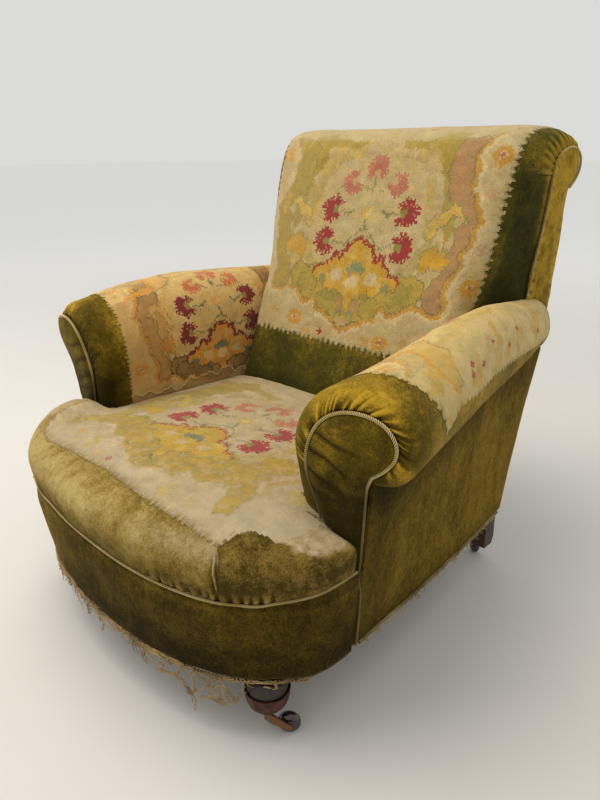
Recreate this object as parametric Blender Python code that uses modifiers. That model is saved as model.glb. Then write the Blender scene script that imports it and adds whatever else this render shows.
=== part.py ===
"""Sagging old easy chair: sprung seat with a bow front, scroll arms and a raked, rolled-over back, on castors.

Metres, +Z up. The front faces -Y, the sitter's left arm is at +X, and the origin is on the floor, in the
middle of the chair's footprint. Every piece of the frame, springing, stuffing, covers and trimming is an
object of its own, in the order in which an upholsterer would fit them.
"""

import math

import bmesh
import bpy
from mathutils import Matrix, Vector

# ---------------------------------------------------------------- driving dimensions
GAP = 0.0004                # air between pieces that touch
CLOTH = 0.0020              # thickness of a cover
UNDER_COVER = 0.0045        # from a cover's outside to the stuffing below it

RAIL_BOTTOM = 0.1205
RAIL_TOP = 0.2000
RAIL_THICK = 0.0220
HEM = 0.1180                # lower edge of the covers

# seat
SEAT_CROWN = 0.3740         # highest point of the seat
SEAT_FALL = 0.0367          # fall towards the back, per metre
SEAT_BELT = 0.3080          # where the bulging front stands out furthest
SEAT_HALF = 0.2570          # half the width between the arms
SEAT_FLAT_Y = -0.2420       # the crown lies here
LIP_Z = 0.2612              # height of the cord under the seat's front
BOW_Y = -0.2450             # the bow starts here on each side and runs forward
BOW_BELT = (0.3560, 0.2140, 2.6)      # half width, reach and squareness of the bow's outline
BOW_LIP = (0.3500, 0.2060, 2.6)
BOW_BELLY = (0.3555, 0.2090, 2.5)
BOW_HEM = (0.3440, 0.1990, 2.3)
BELLY_Z = 0.2150
LEFT_SLUMP = 0.0500         # the old seat has slumped out this share at its front left
LEFT_PUFF = 0.0200          # and stands up higher there, in front of the arm
HESSIAN_Z = 0.2860          # top of the springs
STUFFING_Z = 0.2896

# back
BACK_AT = (0.1820, 0.6120)  # a point (y, z) of the back's front face
BACK_LEAN = 0.3600          # how far it leans back, per metre of height
BACK_FOOT = 0.2800          # lower edge of the back's stuffing
BACK_ROUND = ((0.5400, 0.0300), (0.6200, 0.0620))  # corner between front and sides, against height

# arms
ARM_FRONT_Y = -0.2236       # plane of the arm's front, at the hem and at ARM_EDGE_X
ARM_EDGE_X = 0.3450
ARM_SPLAY = 0.1500
ARM_TIP = 0.1000
ARM_ROUND = 0.0300          # how deep the roll's front end is rounded
ARM_FOOT = 0.2700           # lower edge of the arm's stuffing
GATHERS = 17                # folds drawn round the front of each roll
GATHER_DEPTH = 0.0026

# castors and feet
FRONT_FOOT = (0.2830, -0.3445)
REAR_FOOT = (0.2800, 0.3030)
LEG_BOTTOM = 0.0335
PIN_SIDES = 16
SPINDLE = 0.0030            # radius of the castors' spindles
RUNNING = 0.00008           # clearance round a spindle or pin

# colours, linear
MAHOGANY = (0.060, 0.016, 0.008)
BEECH = (0.330, 0.200, 0.100)
PLUSH = (0.110, 0.085, 0.012)
PLUSH_DARK = (0.050, 0.048, 0.010)
CARPET = (0.420, 0.320, 0.150)
CORD = (0.560, 0.500, 0.340)
WEB = (0.300, 0.220, 0.120)
HAIR = (0.090, 0.055, 0.030)
STEEL = (0.080, 0.075, 0.070)
BRASS = (0.220, 0.090, 0.035)
CHINA = (0.050, 0.022, 0.020)

# section of the arm's cover at its front and its rear end, as (x, z) from the seat, over the roll, to the
# notch under it, and the line that the cord takes on the arm's front at the same places
ARM_FRONT = ((0.2640, 0.2700), (0.2615, 0.3400), (0.2560, 0.4100), (0.2540, 0.4600), (0.2680, 0.5030),
             (0.2970, 0.5360), (0.3356, 0.5550), (0.3750, 0.5565), (0.4107, 0.5430), (0.4351, 0.5150),
             (0.4430, 0.4800), (0.4351, 0.4470), (0.4144, 0.4250), (0.3900, 0.4180))
ARM_REAR = ((0.2660, 0.2700), (0.2660, 0.3400), (0.2660, 0.4200), (0.2665, 0.4900), (0.2700, 0.5250),
            (0.2800, 0.5490), (0.2940, 0.5640), (0.3100, 0.5670), (0.3270, 0.5600), (0.3400, 0.5420),
            (0.3460, 0.5150), (0.3400, 0.4890), (0.3250, 0.4720), (0.3080, 0.4660))
ARM_LOOP = ((0.3100, 0.2750), (0.3080, 0.3500), (0.2930, 0.4050), (0.2895, 0.4350), (0.2950, 0.4650),
            (0.3113, 0.4970), (0.3356, 0.5190), (0.3630, 0.5290), (0.3920, 0.5295), (0.4160, 0.5200),
            (0.4295, 0.5000), (0.4275, 0.4780), (0.4130, 0.4580), (0.3930, 0.4410))
# how far the crest of each roll swells above a straight line, against the share from front to rear
SWELL = {1.0: ((0.0, 0.0), (0.15, 0.0030), (0.32, 0.0140), (0.50, 0.0270), (0.64, 0.0280), (0.82, 0.0150),
               (1.0, 0.0)),
         -1.0: ((0.0, 0.0), (0.10, 0.0140), (0.22, 0.0250), (0.40, 0.0290), (0.62, 0.0210), (0.82, 0.0100),
                (1.0, 0.0))}

# the back from the side, as (y, z): the cover from its foot up the front and over the roll to the notch
# behind it, and the line that the cord takes on the back's side at the same places
BACK_ROLL = ((0.2497, 0.8000), (0.2650, 0.8400), (0.2900, 0.8670), (0.3300, 0.8790), (0.3750, 0.8810),
             (0.4200, 0.8760), (0.4520, 0.8600), (0.4660, 0.8330), (0.4610, 0.8020), (0.4430, 0.7760),
             (0.4200, 0.7600))
BACK_LOOP = ((0.3300, 0.7900), (0.3330, 0.8080), (0.3430, 0.8240), (0.3600, 0.8360), (0.3820, 0.8420),
             (0.4080, 0.8430), (0.4280, 0.8370), (0.4400, 0.8240), (0.4420, 0.8060), (0.4330, 0.7880),
             (0.4180, 0.7720))
BACK_CORD = ((0.3620, 0.5780), (0.3600, 0.6200), (0.3550, 0.6740), (0.3430, 0.7300), (0.3300, 0.7900))
BACK_HALF = ((0.2700, 0.2575), (0.5620, 0.2575), (0.6000, 0.2710), (0.6400, 0.2850), (0.6800, 0.2950),
             (0.7400, 0.3050), (0.8000, 0.3140), (0.8900, 0.3180))     # half width of its front, against height
SIDE_HALF = ((0.5620, 0.3035), (0.6400, 0.3045), (0.6800, 0.3065), (0.7400, 0.3110), (0.8000, 0.3160),
             (0.8900, 0.3190))      # the same at its sides' rear part
REAR_LINE = ((0.0335, 0.3230), (0.1180, 0.3230), (0.2200, 0.3460), (0.3310, 0.3710), (0.4530, 0.4120),
             (0.5570, 0.4310), (0.6600, 0.4370), (0.7480, 0.4240))     # rear face, y against height


# ---------------------------------------------------------------- scene and small helpers
for old in list(bpy.data.objects):
    bpy.data.objects.remove(old, do_unlink=True)

chair = bpy.data.collections.new("easy_chair")
cutters = bpy.data.collections.new("cutters")
bpy.context.scene.collection.children.link(chair)
bpy.context.scene.collection.children.link(cutters)
cutters.hide_render = True


def material(name, colour, roughness=0.8, metallic=0.0):
    """A Principled material of this name, made once."""
    found = bpy.data.materials.get(name)
    if found:
        return found
    made = bpy.data.materials.new(name)
    made.use_nodes = True
    shader = made.node_tree.nodes["Principled BSDF"]
    shader.inputs["Base Color"].default_value = (*colour, 1.0)
    shader.inputs["Roughness"].default_value = roughness
    shader.inputs["Metallic"].default_value = metallic
    made.diffuse_color = (*colour, 1.0)
    return made


def place(name, data, finish, smooth=True):
    """Links an object of this data to the chair's collection."""
    obj = bpy.data.objects.new(name, data)
    chair.objects.link(obj)
    data.materials.append(finish)
    if smooth and isinstance(data, bpy.types.Mesh):
        data.shade_smooth()
        data.set_sharp_from_angle(angle=math.radians(40))
    return obj


def mesh_of(name, bm):
    bmesh.ops.recalc_face_normals(bm, faces=bm.faces)
    mesh = bpy.data.meshes.new(name)
    bm.to_mesh(mesh)
    bm.free()
    return mesh


def lerp(a, b, t):
    return a + (b - a) * t


def along(points, t):
    """A point at share t of a smooth curve through the points, evenly spaced in their numbers."""
    last = len(points) - 1
    place_on = min(max(t, 0.0), 1.0) * last
    i = min(int(place_on), last - 1)
    f = place_on - i
    p0, p1 = points[max(i - 1, 0)], points[i]
    p2, p3 = points[i + 1], points[min(i + 2, last)]
    return tuple(
        0.5 * (2 * b + (c - a) * f + (2 * a - 5 * b + 4 * c - d) * f * f
               + (3 * b - a - 3 * c + d) * f ** 3)
        for a, b, c, d in zip(p0, p1, p2, p3))


def table(pairs, key):
    """Straight-line look-up in (key, value) pairs."""
    for (k0, v0), (k1, v1) in zip(pairs, pairs[1:]):
        if key <= k1:
            return lerp(v0, v1, min(max((key - k0) / (k1 - k0), 0.0), 1.0))
    return pairs[-1][1]


def grid_mesh(bm, rows, closed=False):
    """Quads between rows of points; closed joins each row's end to its start. Returns the rows of vertices."""
    made = [[bm.verts.new(p) for p in row] for row in rows]
    count = len(rows[0])
    for upper, lower in zip(made, made[1:]):
        for i in range(count if closed else count - 1):
            j = (i + 1) % count
            bm.faces.new((upper[i], upper[j], lower[j], lower[i]))
    return made


def sheet(name, rows, finish, thickness=CLOTH, flip=False):
    """A cover: an open surface through rows of points, thickened inwards."""
    bm = bmesh.new()
    grid_mesh(bm, rows)
    if flip:
        bmesh.ops.reverse_faces(bm, faces=bm.faces)
    mesh = bpy.data.meshes.new(name)
    bm.to_mesh(mesh)
    bm.free()
    obj = place(name, mesh, finish)
    solid = obj.modifiers.new("thickness", "SOLIDIFY")
    solid.thickness = thickness
    solid.offset = -1.0
    solid.use_even_offset = True
    return obj


def loft(name, rings, finish, smooth=True):
    """A closed solid through closed rings of points, with a flat cap on each end."""
    bm = bmesh.new()
    made = grid_mesh(bm, rings, closed=True)
    bm.faces.new(made[0])
    bm.faces.new(made[-1])
    return place(name, mesh_of(name, bm), finish, smooth)


def board(name, start, end, finish):
    """A straight timber between two four-cornered ends."""
    return loft(name, [start, end], finish, smooth=False)


def tube(name, points, radius, finish, resolution=2):
    """A round cord or wire along the points, with filled ends."""
    curve = bpy.data.curves.new(name, "CURVE")
    curve.dimensions = "3D"
    curve.bevel_depth = radius
    curve.bevel_resolution = resolution
    curve.use_fill_caps = True
    spline = curve.splines.new("POLY")
    spline.points.add(len(points) - 1)
    for made, p in zip(spline.points, points):
        made.co = (*p, 1.0)
    return place(name, curve, finish)


def turned(name, profile, finish, steps=PIN_SIDES):
    """A piece turned about its own Z axis. The profile is (radius, height) from the top down its outside,
    and it starts and ends on the axis or closes on itself."""
    mesh = bpy.data.meshes.new(name)
    mesh.from_pydata([(r, 0.0, z) for r, z in profile], [(i, i + 1) for i in range(len(profile) - 1)], [])
    obj = place(name, mesh, finish)
    screw = obj.modifiers.new("turn", "SCREW")
    screw.steps = screw.render_steps = steps
    screw.use_merge_vertices = True
    screw.merge_threshold = 1e-5
    screw.use_smooth_shade = True
    return obj


def joined(name, pieces, finish):
    """One solid made of overlapping pieces with Boolean unions."""
    base, *others = pieces
    for i, other in enumerate(others):
        chair.objects.unlink(other)
        cutters.objects.link(other)
        other.hide_render = True
        other.display_type = "WIRE"
        union = base.modifiers.new(f"join_{i}", "BOOLEAN")
        union.operation = "UNION"
        union.solver = "EXACT"
        union.object = other
    base.name = name
    return base


def spread(n):
    """n + 1 shares from 0 to 1."""
    return [i / n for i in range(n + 1)]


# ---------------------------------------------------------------- shapes that several pieces share
def smooth(share):
    """0 to 1 with no corner at either end."""
    share = min(max(share, 0.0), 1.0)
    return share * share * (3 - 2 * share)


def slumped(angle, half):
    """How many times wider the slumped front left is, at an angle round a bow of this half width."""
    outer = min(max((half - 0.2800) / 0.0600, 0.0), 1.0)
    return 1 + LEFT_SLUMP * outer * math.sin(math.pi * min(max((-angle - 20) / 70, 0.0), 1.0))


def bow(shape, angle, y_start=BOW_Y):
    """A point of the bow front in plan: angle runs from -90 (left) through 0 (front) to 90 degrees."""
    half, reach, square = shape
    s, c = math.sin(math.radians(angle)), max(math.cos(math.radians(angle)), 0.0)
    x = half * math.copysign(abs(s) ** (2 / square), s)
    wide = slumped(angle, half)
    return x * wide, y_start - reach * wide * c ** (2 / square)


def bow_blend(low, high, t):
    return tuple(lerp(a, b, t) for a, b in zip(low, high))


def puff(x, y):
    """How far the seat is in its puffed front left, 0 to 1."""
    return smooth((-x - 0.2200) / 0.0800) * smooth((BOW_Y - y) / 0.0400) * smooth((y + 0.4700) / 0.1400)


def seat_height(x, y):
    """Height of the seat's top: crowned, rolling over towards the bow and falling towards the back."""
    half, reach, square = BOW_BELT
    forward = max(BOW_Y - y, 0.0) / reach
    angle = math.degrees(math.atan2((abs(x) / half) ** (square / 2), forward ** (square / 2)))
    wide = slumped(math.copysign(angle, x), half) if forward > 0 else 1.0
    q = min(((abs(x) / half) ** square + forward ** square) ** (1 / square) / wide, 1.0)
    share = puff(x, y)
    z = SEAT_BELT + (SEAT_CROWN - SEAT_BELT + LEFT_PUFF * share) * (1 - q ** (3.0 + 4.0 * share)) ** 0.5
    return z - SEAT_FALL * max(y - SEAT_FLAT_Y, 0.0)


def back_face(z):
    """y of the back's flat front at a height."""
    return BACK_AT[0] + (z - BACK_AT[1]) * BACK_LEAN


def back_half(z):
    return table(BACK_HALF, z)


def side_half(z):
    return table(SIDE_HALF, z)


def back_round(z):
    return table(BACK_ROUND, z)


def rear_face(z):
    return table(REAR_LINE, z)


def arm_plane(x, z):
    """y of the arm's front plane."""
    return ARM_FRONT_Y + (abs(x) - ARM_EDGE_X) * ARM_SPLAY - (z - HEM) * ARM_TIP


def arm_end(z):
    """y of the arm's rear end, which follows the raked back post."""
    return table(((0.27, 0.302), (0.33, 0.318), (0.45, 0.352), (0.60, 0.364)), z)


def arm_section(k, t, sign, inset=0.0):
    """A point (x, z) of the arm's cover: k runs round the section and t from the front to the rear."""
    fx, fz = along(ARM_FRONT, k)
    rx, rz = along(ARM_REAR, k)
    x, z = lerp(fx, rx, t), lerp(fz, rz, t)
    over_top = min(max((k - 0.20) / 0.66, 0.0), 1.0)
    z += table(SWELL[sign], t) * math.sin(math.pi * over_top)
    if inset:
        ahead, behind = min(k + 0.01, 1.0), max(k - 0.01, 0.0)
        ax, az = arm_section(ahead, t, sign)
        bx, bz = arm_section(behind, t, sign)
        length = math.hypot(ax - bx, az - bz)
        x += inset * (az - bz) / length
        z -= inset * (ax - bx) / length
    return x, z


def mirror_x(rows):
    return [[Vector((-p[0], p[1], p[2])) for p in row] for row in rows]


SIDES = (("right", 1.0), ("left", -1.0))
frame_wood = material("frame_beech", BEECH, 0.6)
show_wood = material("show_mahogany", MAHOGANY, 0.35)
plush = material("olive_plush", PLUSH, 0.9)
plush_dark = material("dark_plush", PLUSH_DARK, 0.9)
carpet = material("woven_pile", CARPET, 0.95)
rope = material("cotton_cord", CORD, 0.8)
jute = material("jute_web", WEB, 0.9)
stuffing = material("horsehair", HAIR, 1.0)
spring_steel = material("spring_steel", STEEL, 0.5, 1.0)
brass = material("dull_brass", BRASS, 0.45, 1.0)
china = material("brown_china", CHINA, 0.15)


# ---------------------------------------------------------------- frame
def rail_ring(angle):
    """Cross-section of the bowed front rail at an angle round the bow."""
    x, y = bow(BOW_HEM, angle)
    outer = (x * 0.955, BOW_Y + (y - BOW_Y) * 0.93)
    inner = (x * 0.885, BOW_Y + (y - BOW_Y) * 0.82)
    return [Vector((*outer, RAIL_BOTTOM)), Vector((*outer, RAIL_TOP)),
            Vector((*inner, RAIL_TOP)), Vector((*inner, RAIL_BOTTOM))]


def front_rail():
    loft("front_rail", [rail_ring(a) for a in range(-86, 87, 4)], frame_wood)


def side_frame(side, sign):
    """The seat rail, front post and arm rail of one side."""
    def end(x_in, x_out, y, low, high):
        return [Vector((sign * x_in, y, low)), Vector((sign * x_out, y, low)),
                Vector((sign * x_out, y, high)), Vector((sign * x_in, y, high))]

    board(f"side_rail_{side}", end(0.3045, 0.3045 + RAIL_THICK, -0.2280, RAIL_BOTTOM, RAIL_TOP),
          end(0.2700, 0.2700 + RAIL_THICK, 0.2795, RAIL_BOTTOM, RAIL_TOP), frame_wood)
    board(f"front_post_{side}",
          [Vector((sign * x, y, RAIL_TOP + GAP)) for x, y in
           ((0.3060, -0.2240), (0.3320, -0.2240), (0.3320, -0.1900), (0.3060, -0.1900))],
          [Vector((sign * x, y, 0.3900)) for x, y in
           ((0.3120, -0.2380), (0.3400, -0.2380), (0.3400, -0.2000), (0.3120, -0.2000))], frame_wood)
    board(f"arm_rail_{side}", end(0.3120, 0.3460, -0.2340, 0.3905, 0.4120),
          end(0.2790, 0.2980, 0.3490, 0.4400, 0.4600), frame_wood)


def back_leg(side, sign):
    """A rear leg and back post in one raked piece: the leg's foot is show wood with a rounded heel."""
    rings = []
    for z in (LEG_BOTTOM, 0.0500, 0.1180, 0.2200, 0.3310, 0.4900, 0.5570, 0.6600, 0.7420):
        inner, outer = 0.2640, 0.2982
        rear = rear_face(z) - 0.0060 if z > 0.1 else 0.3210
        heel = 0.0070 if z == LEG_BOTTOM else 0.0
        depth = 0.0370 if z < 0.5 else 0.0340
        rings.append([Vector((sign * inner, rear - depth, z)), Vector((sign * outer, rear - depth, z)),
                      Vector((sign * outer, rear - heel, z)), Vector((sign * inner, rear - heel, z))])
    loft(f"back_leg_{side}", rings, show_wood, smooth=False)


def cross_rails():
    """Back seat rail, the rail at the foot of the inside back, and the top rail."""
    def bar(name, half, y, low, high, depth, lean=0.0):
        ring = [(y, low), (y + depth, low), (y + depth + lean, high), (y + lean, high)]
        board(name, [Vector((-half, *p)) for p in ring], [Vector((half, *p)) for p in ring], frame_wood)

    bar("back_rail", 0.2635, 0.2850, RAIL_BOTTOM, RAIL_TOP, RAIL_THICK)
    bar("stay_rail", 0.2635, 0.3230, 0.3300, 0.3700, RAIL_THICK, 0.0120)
    bar("top_rail", 0.2900, 0.3830, 0.7424, 0.7900, RAIL_THICK)


def front_foot(side, sign):
    x, y = sign * FRONT_FOOT[0], FRONT_FOOT[1]
    obj = turned(f"front_foot_{side}", [
        (0.0, 0.1200), (0.0100, 0.1200), (0.0104, 0.1064), (0.0250, 0.1030), (0.0308, 0.0930),
        (0.0318, 0.0845), (0.0312, 0.0740), (0.0280, 0.0640), (0.0215, 0.0575), (0.0, 0.0560)], show_wood)
    obj.location = (x, y, 0.0)


# ---------------------------------------------------------------- castors
def castor(side, sign, end, foot, wheel_radius, wheel_width, trail, turn, socket_profile, plate_top,
           spindle_up):
    """A castor: the socket stays with the leg, the horn swivels in it, and the wheel turns on the horn's pin."""
    name = f"{end}_{side}"
    x, y = sign * foot[0], foot[1]
    socket = turned(f"castor_socket_{name}", socket_profile, brass)
    socket.location = (x, y, 0.0)

    # the horn is modelled about the swivel axis, with +X as the way it trails and the wheel's pin along Y
    half = wheel_width / 2
    pin_radius = 0.0025
    cheek = half + 0.0012
    thick = 0.0034
    plate = 0.0034
    top = plate_top - GAP
    spindle = turned("spindle", [(0.0, top + spindle_up), (SPINDLE, top + spindle_up),
                                 (SPINDLE, top - 0.5 * plate), (0.0, top - 0.5 * plate)], brass)
    disc = turned("disc", [(0.0, top), (cheek + thick, top), (cheek + thick, top - plate),
                           (0.0, top - plate)], brass)
    outline = [(-0.0040, top - 0.0006), (0.0040, top - 0.0006), (0.3 * trail + 0.004, top - 0.0060),
               (trail, wheel_radius + 0.0058), (trail + 0.0045, wheel_radius + 0.0030),
               (trail + 0.0052, wheel_radius - 0.0020), (trail, wheel_radius - 0.0052),
               (trail - 0.0060, wheel_radius - 0.0030), (0.35 * trail - 0.004, wheel_radius + 0.0060),
               (-0.0040, top - 0.0100 if end == "front" else top - plate)]
    arm = loft("arm", [[Vector((px, py, pz)) for px, pz in outline]
                       for py in (-cheek - thick, -cheek)], brass)
    pin = turned("pin", [(0.0, half + 0.0022), (0.0040, half + 0.0022), (0.0040, half + 0.0010),
                         (pin_radius, half + 0.0010), (pin_radius, -cheek - 0.5 * thick),
                         (0.0, -cheek - 0.5 * thick)], brass)
    pin.location = (trail, 0.0, wheel_radius)
    pin.rotation_euler = (math.radians(-90), 0.0, 0.0)
    for piece in (spindle, arm, pin):
        piece.parent = disc
    horn = joined(f"castor_horn_{name}", [disc, spindle, arm, pin], brass)
    horn.location = (x, y, 0.0)
    horn.rotation_euler = (0.0, 0.0, math.radians(turn))

    bore = pin_radius + RUNNING
    rim = wheel_radius / math.cos(math.pi / PIN_SIDES)
    wheel = turned(f"castor_wheel_{name}", [
        (bore, half), (0.45 * rim, half), (0.84 * rim, 0.80 * half), (rim, 0.22 * half),
        (rim, -0.22 * half), (0.84 * rim, -0.80 * half), (0.45 * rim, -half), (bore, -half),
        (bore, half)], china)
    ahead = Vector((math.cos(math.radians(turn)), math.sin(math.radians(turn)), 0.0))
    wheel.location = Vector((x, y, wheel_radius)) + ahead * trail
    wheel.rotation_euler = (Matrix.Rotation(math.radians(turn), 4, "Z")
                            @ Matrix.Rotation(math.radians(-90), 4, "X")
                            @ Matrix.Rotation(math.pi / PIN_SIDES, 4, "Z")).to_euler()


CUP_BOTTOM = 0.0440
PLATE_BOTTOM = LEG_BOTTOM - 0.0034
BORE = SPINDLE + RUNNING
CUP = [(0.0334, 0.0865), (0.0350, 0.0860), (0.0345, 0.0740), (0.0312, 0.0625), (0.0240, 0.0530),
       (0.0175, 0.0470), (0.0160, CUP_BOTTOM), (BORE, CUP_BOTTOM), (BORE, CUP_BOTTOM + 0.0085),
       (0.0, CUP_BOTTOM + 0.0085)]
CUP_INSIDE = [(0.0, 0.0550), (0.0218, 0.0564), (0.0292, 0.0636), (0.0322, 0.0736), (0.0329, 0.0840),
              (0.0334, 0.0865)]
PLATE = [(0.0, LEG_BOTTOM - GAP), (0.0150, LEG_BOTTOM - GAP), (0.0150, PLATE_BOTTOM),
         (BORE, PLATE_BOTTOM), (BORE, LEG_BOTTOM - 0.0010), (0.0, LEG_BOTTOM - 0.0010)]
TURNS = {("front", "right"): 40.0, ("front", "left"): 200.0, ("rear", "right"): 165.0, ("rear", "left"): 60.0}


def castors():
    for side, sign in SIDES:
        castor(side, sign, "front", FRONT_FOOT, 0.0180, 0.0170, 0.0330, TURNS["front", side],
               CUP_INSIDE[:-1] + CUP, CUP_BOTTOM, 0.0075)
        castor(side, sign, "rear", REAR_FOOT, 0.0125, 0.0120, 0.0170, TURNS["rear", side],
               PLATE, PLATE_BOTTOM, 0.0022)


# ---------------------------------------------------------------- springing
def webbing():
    """Woven jute straps under the seat, as one lattice inside the rails' outline."""
    width, pitch = 0.0500, 0.1200
    edges_x = sorted([i * pitch + s * width / 2 for i in range(-2, 3) for s in (-1, 1)])
    edges_y = sorted([-0.0700 + i * pitch + s * width / 2 for i in range(-3, 4) for s in (-1, 1)])
    edges_x = [-0.2900] + edges_x + [0.2900]
    edges_y = [-0.4150] + edges_y[1:-1] + [0.2790]
    bm = bmesh.new()
    corners = {}

    def corner(i, j):
        if (i, j) not in corners:
            corners[i, j] = bm.verts.new((edges_x[i], edges_y[j], RAIL_BOTTOM - 0.0010))
        return corners[i, j]

    for i in range(len(edges_x) - 1):
        for j in range(len(edges_y) - 1):
            wide = max(abs(edges_x[i]), abs(edges_x[i + 1]))
            forward = max(BOW_Y - edges_y[j], 0.0) / BOW_HEM[1]
            inside = (wide / BOW_HEM[0]) ** 2.3 + forward ** 2.3 < 0.65
            strap = i % 2 == 1 or j % 2 == 1
            by_leg = wide > 0.2635 and edges_y[j + 1] > 0.2700
            if strap and inside and not by_leg:
                bm.faces.new((corner(i, j), corner(i + 1, j), corner(i + 1, j + 1), corner(i, j + 1)))
    mesh = bpy.data.meshes.new("webbing")
    bm.to_mesh(mesh)
    bm.free()
    obj = place("webbing", mesh, jute, smooth=False)
    solid = obj.modifiers.new("thickness", "SOLIDIFY")
    solid.thickness = 0.0018
    solid.offset = -1.0


def seat_springs():
    """Nine waisted coil springs standing on the webbing."""
    turns, per_turn, wire = 3.5, 6, 0.0019
    low, high = RAIL_BOTTOM + wire + GAP, HESSIAN_Z - wire - GAP
    number = 1
    for y in (-0.3100, -0.1700, -0.0300):
        for x in (-0.1500, 0.0, 0.1500):
            steps = int(turns * per_turn)
            points = []
            for i in range(steps + 1):
                t = i / steps
                radius = 0.0460 - 0.0140 * math.sin(math.pi * t)
                angle = 2 * math.pi * turns * t
                points.append((x + radius * math.cos(angle), y + radius * math.sin(angle),
                               lerp(low, high, t)))
            tube(f"seat_spring_{number}", points, wire, spring_steel, resolution=0)
            number += 1


def hessian():
    """Canvas stretched over the springs."""
    outline = [(0.2500, 0.0450), (0.2500, -0.2300)]
    outline += [bow((0.2500, 0.1650, 2.4), a, -0.2300) for a in range(75, -76, -15)]
    outline += [(-0.2500, -0.2300), (-0.2500, 0.0450)]
    loft("spring_hessian", [[Vector((x, y, HESSIAN_Z + dz)) for x, y in outline]
                            for dz in (0.0, 0.0020)], jute, smooth=False)


# ---------------------------------------------------------------- seat
BOW_ANGLES = [-90, -80, -68, -56, -44, -33, -22, -11, 0, 11, 22, 33, 44, 56, 68, 80, 90]
SEAT_ROWS = (               # (y at the sides, half width, reach, squareness) of rows from the back forward
    (0.0880, 0.2570, 0.0000, 2.2), (0.0200, 0.2570, 0.0100, 2.2), (-0.0600, 0.2570, 0.0200, 2.2),
    (-0.1400, 0.2570, 0.0400, 2.2), (-0.1900, 0.2570, 0.0600, 2.2), (-0.2335, 0.2570, 0.0800, 2.2),
    (-0.2480, 0.2650, 0.1050, 2.3), (-0.2580, 0.2850, 0.1300, 2.4), (-0.2640, 0.3100, 0.1520, 2.5),
    (-0.2610, 0.3280, 0.1710, 2.55), (-0.2570, 0.3420, 0.1860, 2.6), (-0.2550, 0.3520, 0.1970, 2.6))
SEAT_SIDE_Y = -0.2530       # rear end of the seat's rounded front, beside the arm


def seat_rows(inset=0.0):
    """Rows of points over the seat, from the back to the cord under the front."""
    rows = []
    for y_side, half, reach, square in SEAT_ROWS:
        row = []
        for a in BOW_ANGLES:
            x, y = bow((half - inset, reach, square), a, y_side)
            if y_side == SEAT_ROWS[0][0]:
                y = back_face(SEAT_CROWN - 0.0150) - 0.0040 - inset
            y += inset if half > SEAT_HALF and abs(a) < 80 else 0.0
            row.append(Vector((x, y, seat_height(x, y) - inset * (1 + puff(x, y)))))
        rows.append(row)
    for shape, z in ((BOW_BELT, SEAT_BELT), (bow_blend(BOW_BELT, BOW_LIP, 0.35), 0.2850),
                     (BOW_LIP, LIP_Z + 0.0036)):
        row = []
        for a in BOW_ANGLES:
            x, y = bow((shape[0] - inset, shape[1] - inset, shape[2]), a, BOW_Y)
            row.append(Vector((x, min(y, SEAT_SIDE_Y), z)))
        rows.append(row)
    return rows


def seat():
    sheet("seat_cover", seat_rows(), carpet, flip=True)

    # the stuffing: a crowned slab below the cover, with a flat underside on the hessian
    top = seat_rows(UNDER_COVER + 0.0006)[:-2]
    bm = bmesh.new()
    made = grid_mesh(bm, top)
    rear = back_face(STUFFING_Z) - 0.0070
    under = [[bm.verts.new((v.co.x, min(v.co.y, rear), STUFFING_Z)) for v in row] for row in made]
    count = len(BOW_ANGLES)
    for upper, lower in zip(under, under[1:]):
        for i in range(count - 1):
            bm.faces.new((lower[i], lower[i + 1], upper[i + 1], upper[i]))
    for line, base in ((made[0], under[0]), (made[-1][::-1], under[-1][::-1]),
                       ([r[0] for r in made][::-1], [r[0] for r in under][::-1]),
                       ([r[-1] for r in made], [r[-1] for r in under])):
        for i in range(len(line) - 1):
            bm.faces.new((line[i], line[i + 1], base[i + 1], base[i]))
    place("seat_stuffing", mesh_of("seat_stuffing", bm), stuffing)


BORDER_END_Y = -0.2295      # the border's ends, beside the front posts


def border_point(shape, angle, z):
    x, y = bow(shape, angle, BOW_Y)
    return Vector((x, y, z))


def front_border():
    """The plain band between the seat's cord and the hem, padded over the front rail."""
    levels = ((LIP_Z - 0.0036, BOW_LIP), (0.2400, bow_blend(BOW_LIP, BOW_BELLY, 0.8)), (BELLY_Z, BOW_BELLY),
              (0.1650, bow_blend(BOW_BELLY, BOW_HEM, 0.55)), (HEM, BOW_HEM))
    angles = [-90] + [a for a in range(-84, 85, 8)] + [90]
    rows = []
    for z, shape in levels:
        row = [border_point(shape, a, z) for a in angles]
        rows.append([Vector((row[0].x, BORDER_END_Y, z))] + row + [Vector((row[-1].x, BORDER_END_Y, z))])
    sheet("front_border", rows, plush, thickness=0.0060, flip=True)


def lip_cord():
    """Piping between the seat's cover and the border."""
    points = []
    for a in range(-90, 91, 6):
        x, y = bow((BOW_LIP[0] + 0.0012, BOW_LIP[1] + 0.0012, BOW_LIP[2]), a, BOW_Y)
        points.append((x, min(y, -0.2460), LIP_Z))
    tube("lip_cord", points, 0.0030, rope, resolution=1)


def fringe_braid():
    """The heading that is left of the fringe, tacked under the hem of the border."""
    def ring(angle):
        x, y = bow((BOW_HEM[0] + 0.0008, BOW_HEM[1] + 0.0008, BOW_HEM[2]), angle, BOW_Y)
        nx, ny = x / BOW_HEM[0], (y - BOW_Y) / BOW_HEM[1]
        size = math.hypot(nx, ny)
        inner = Vector((x - 0.005 * nx / size, y - 0.005 * ny / size, 0.0))
        outer = Vector((x, y, 0.0))
        return [outer + Vector((0, 0, HEM - 0.0004)), outer + Vector((0, 0, HEM - 0.0110)),
                inner + Vector((0, 0, HEM - 0.0110)), inner + Vector((0, 0, HEM - 0.0004))]
    loft("fringe_braid", [ring(a) for a in range(-80, 81, 8)], rope)


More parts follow.
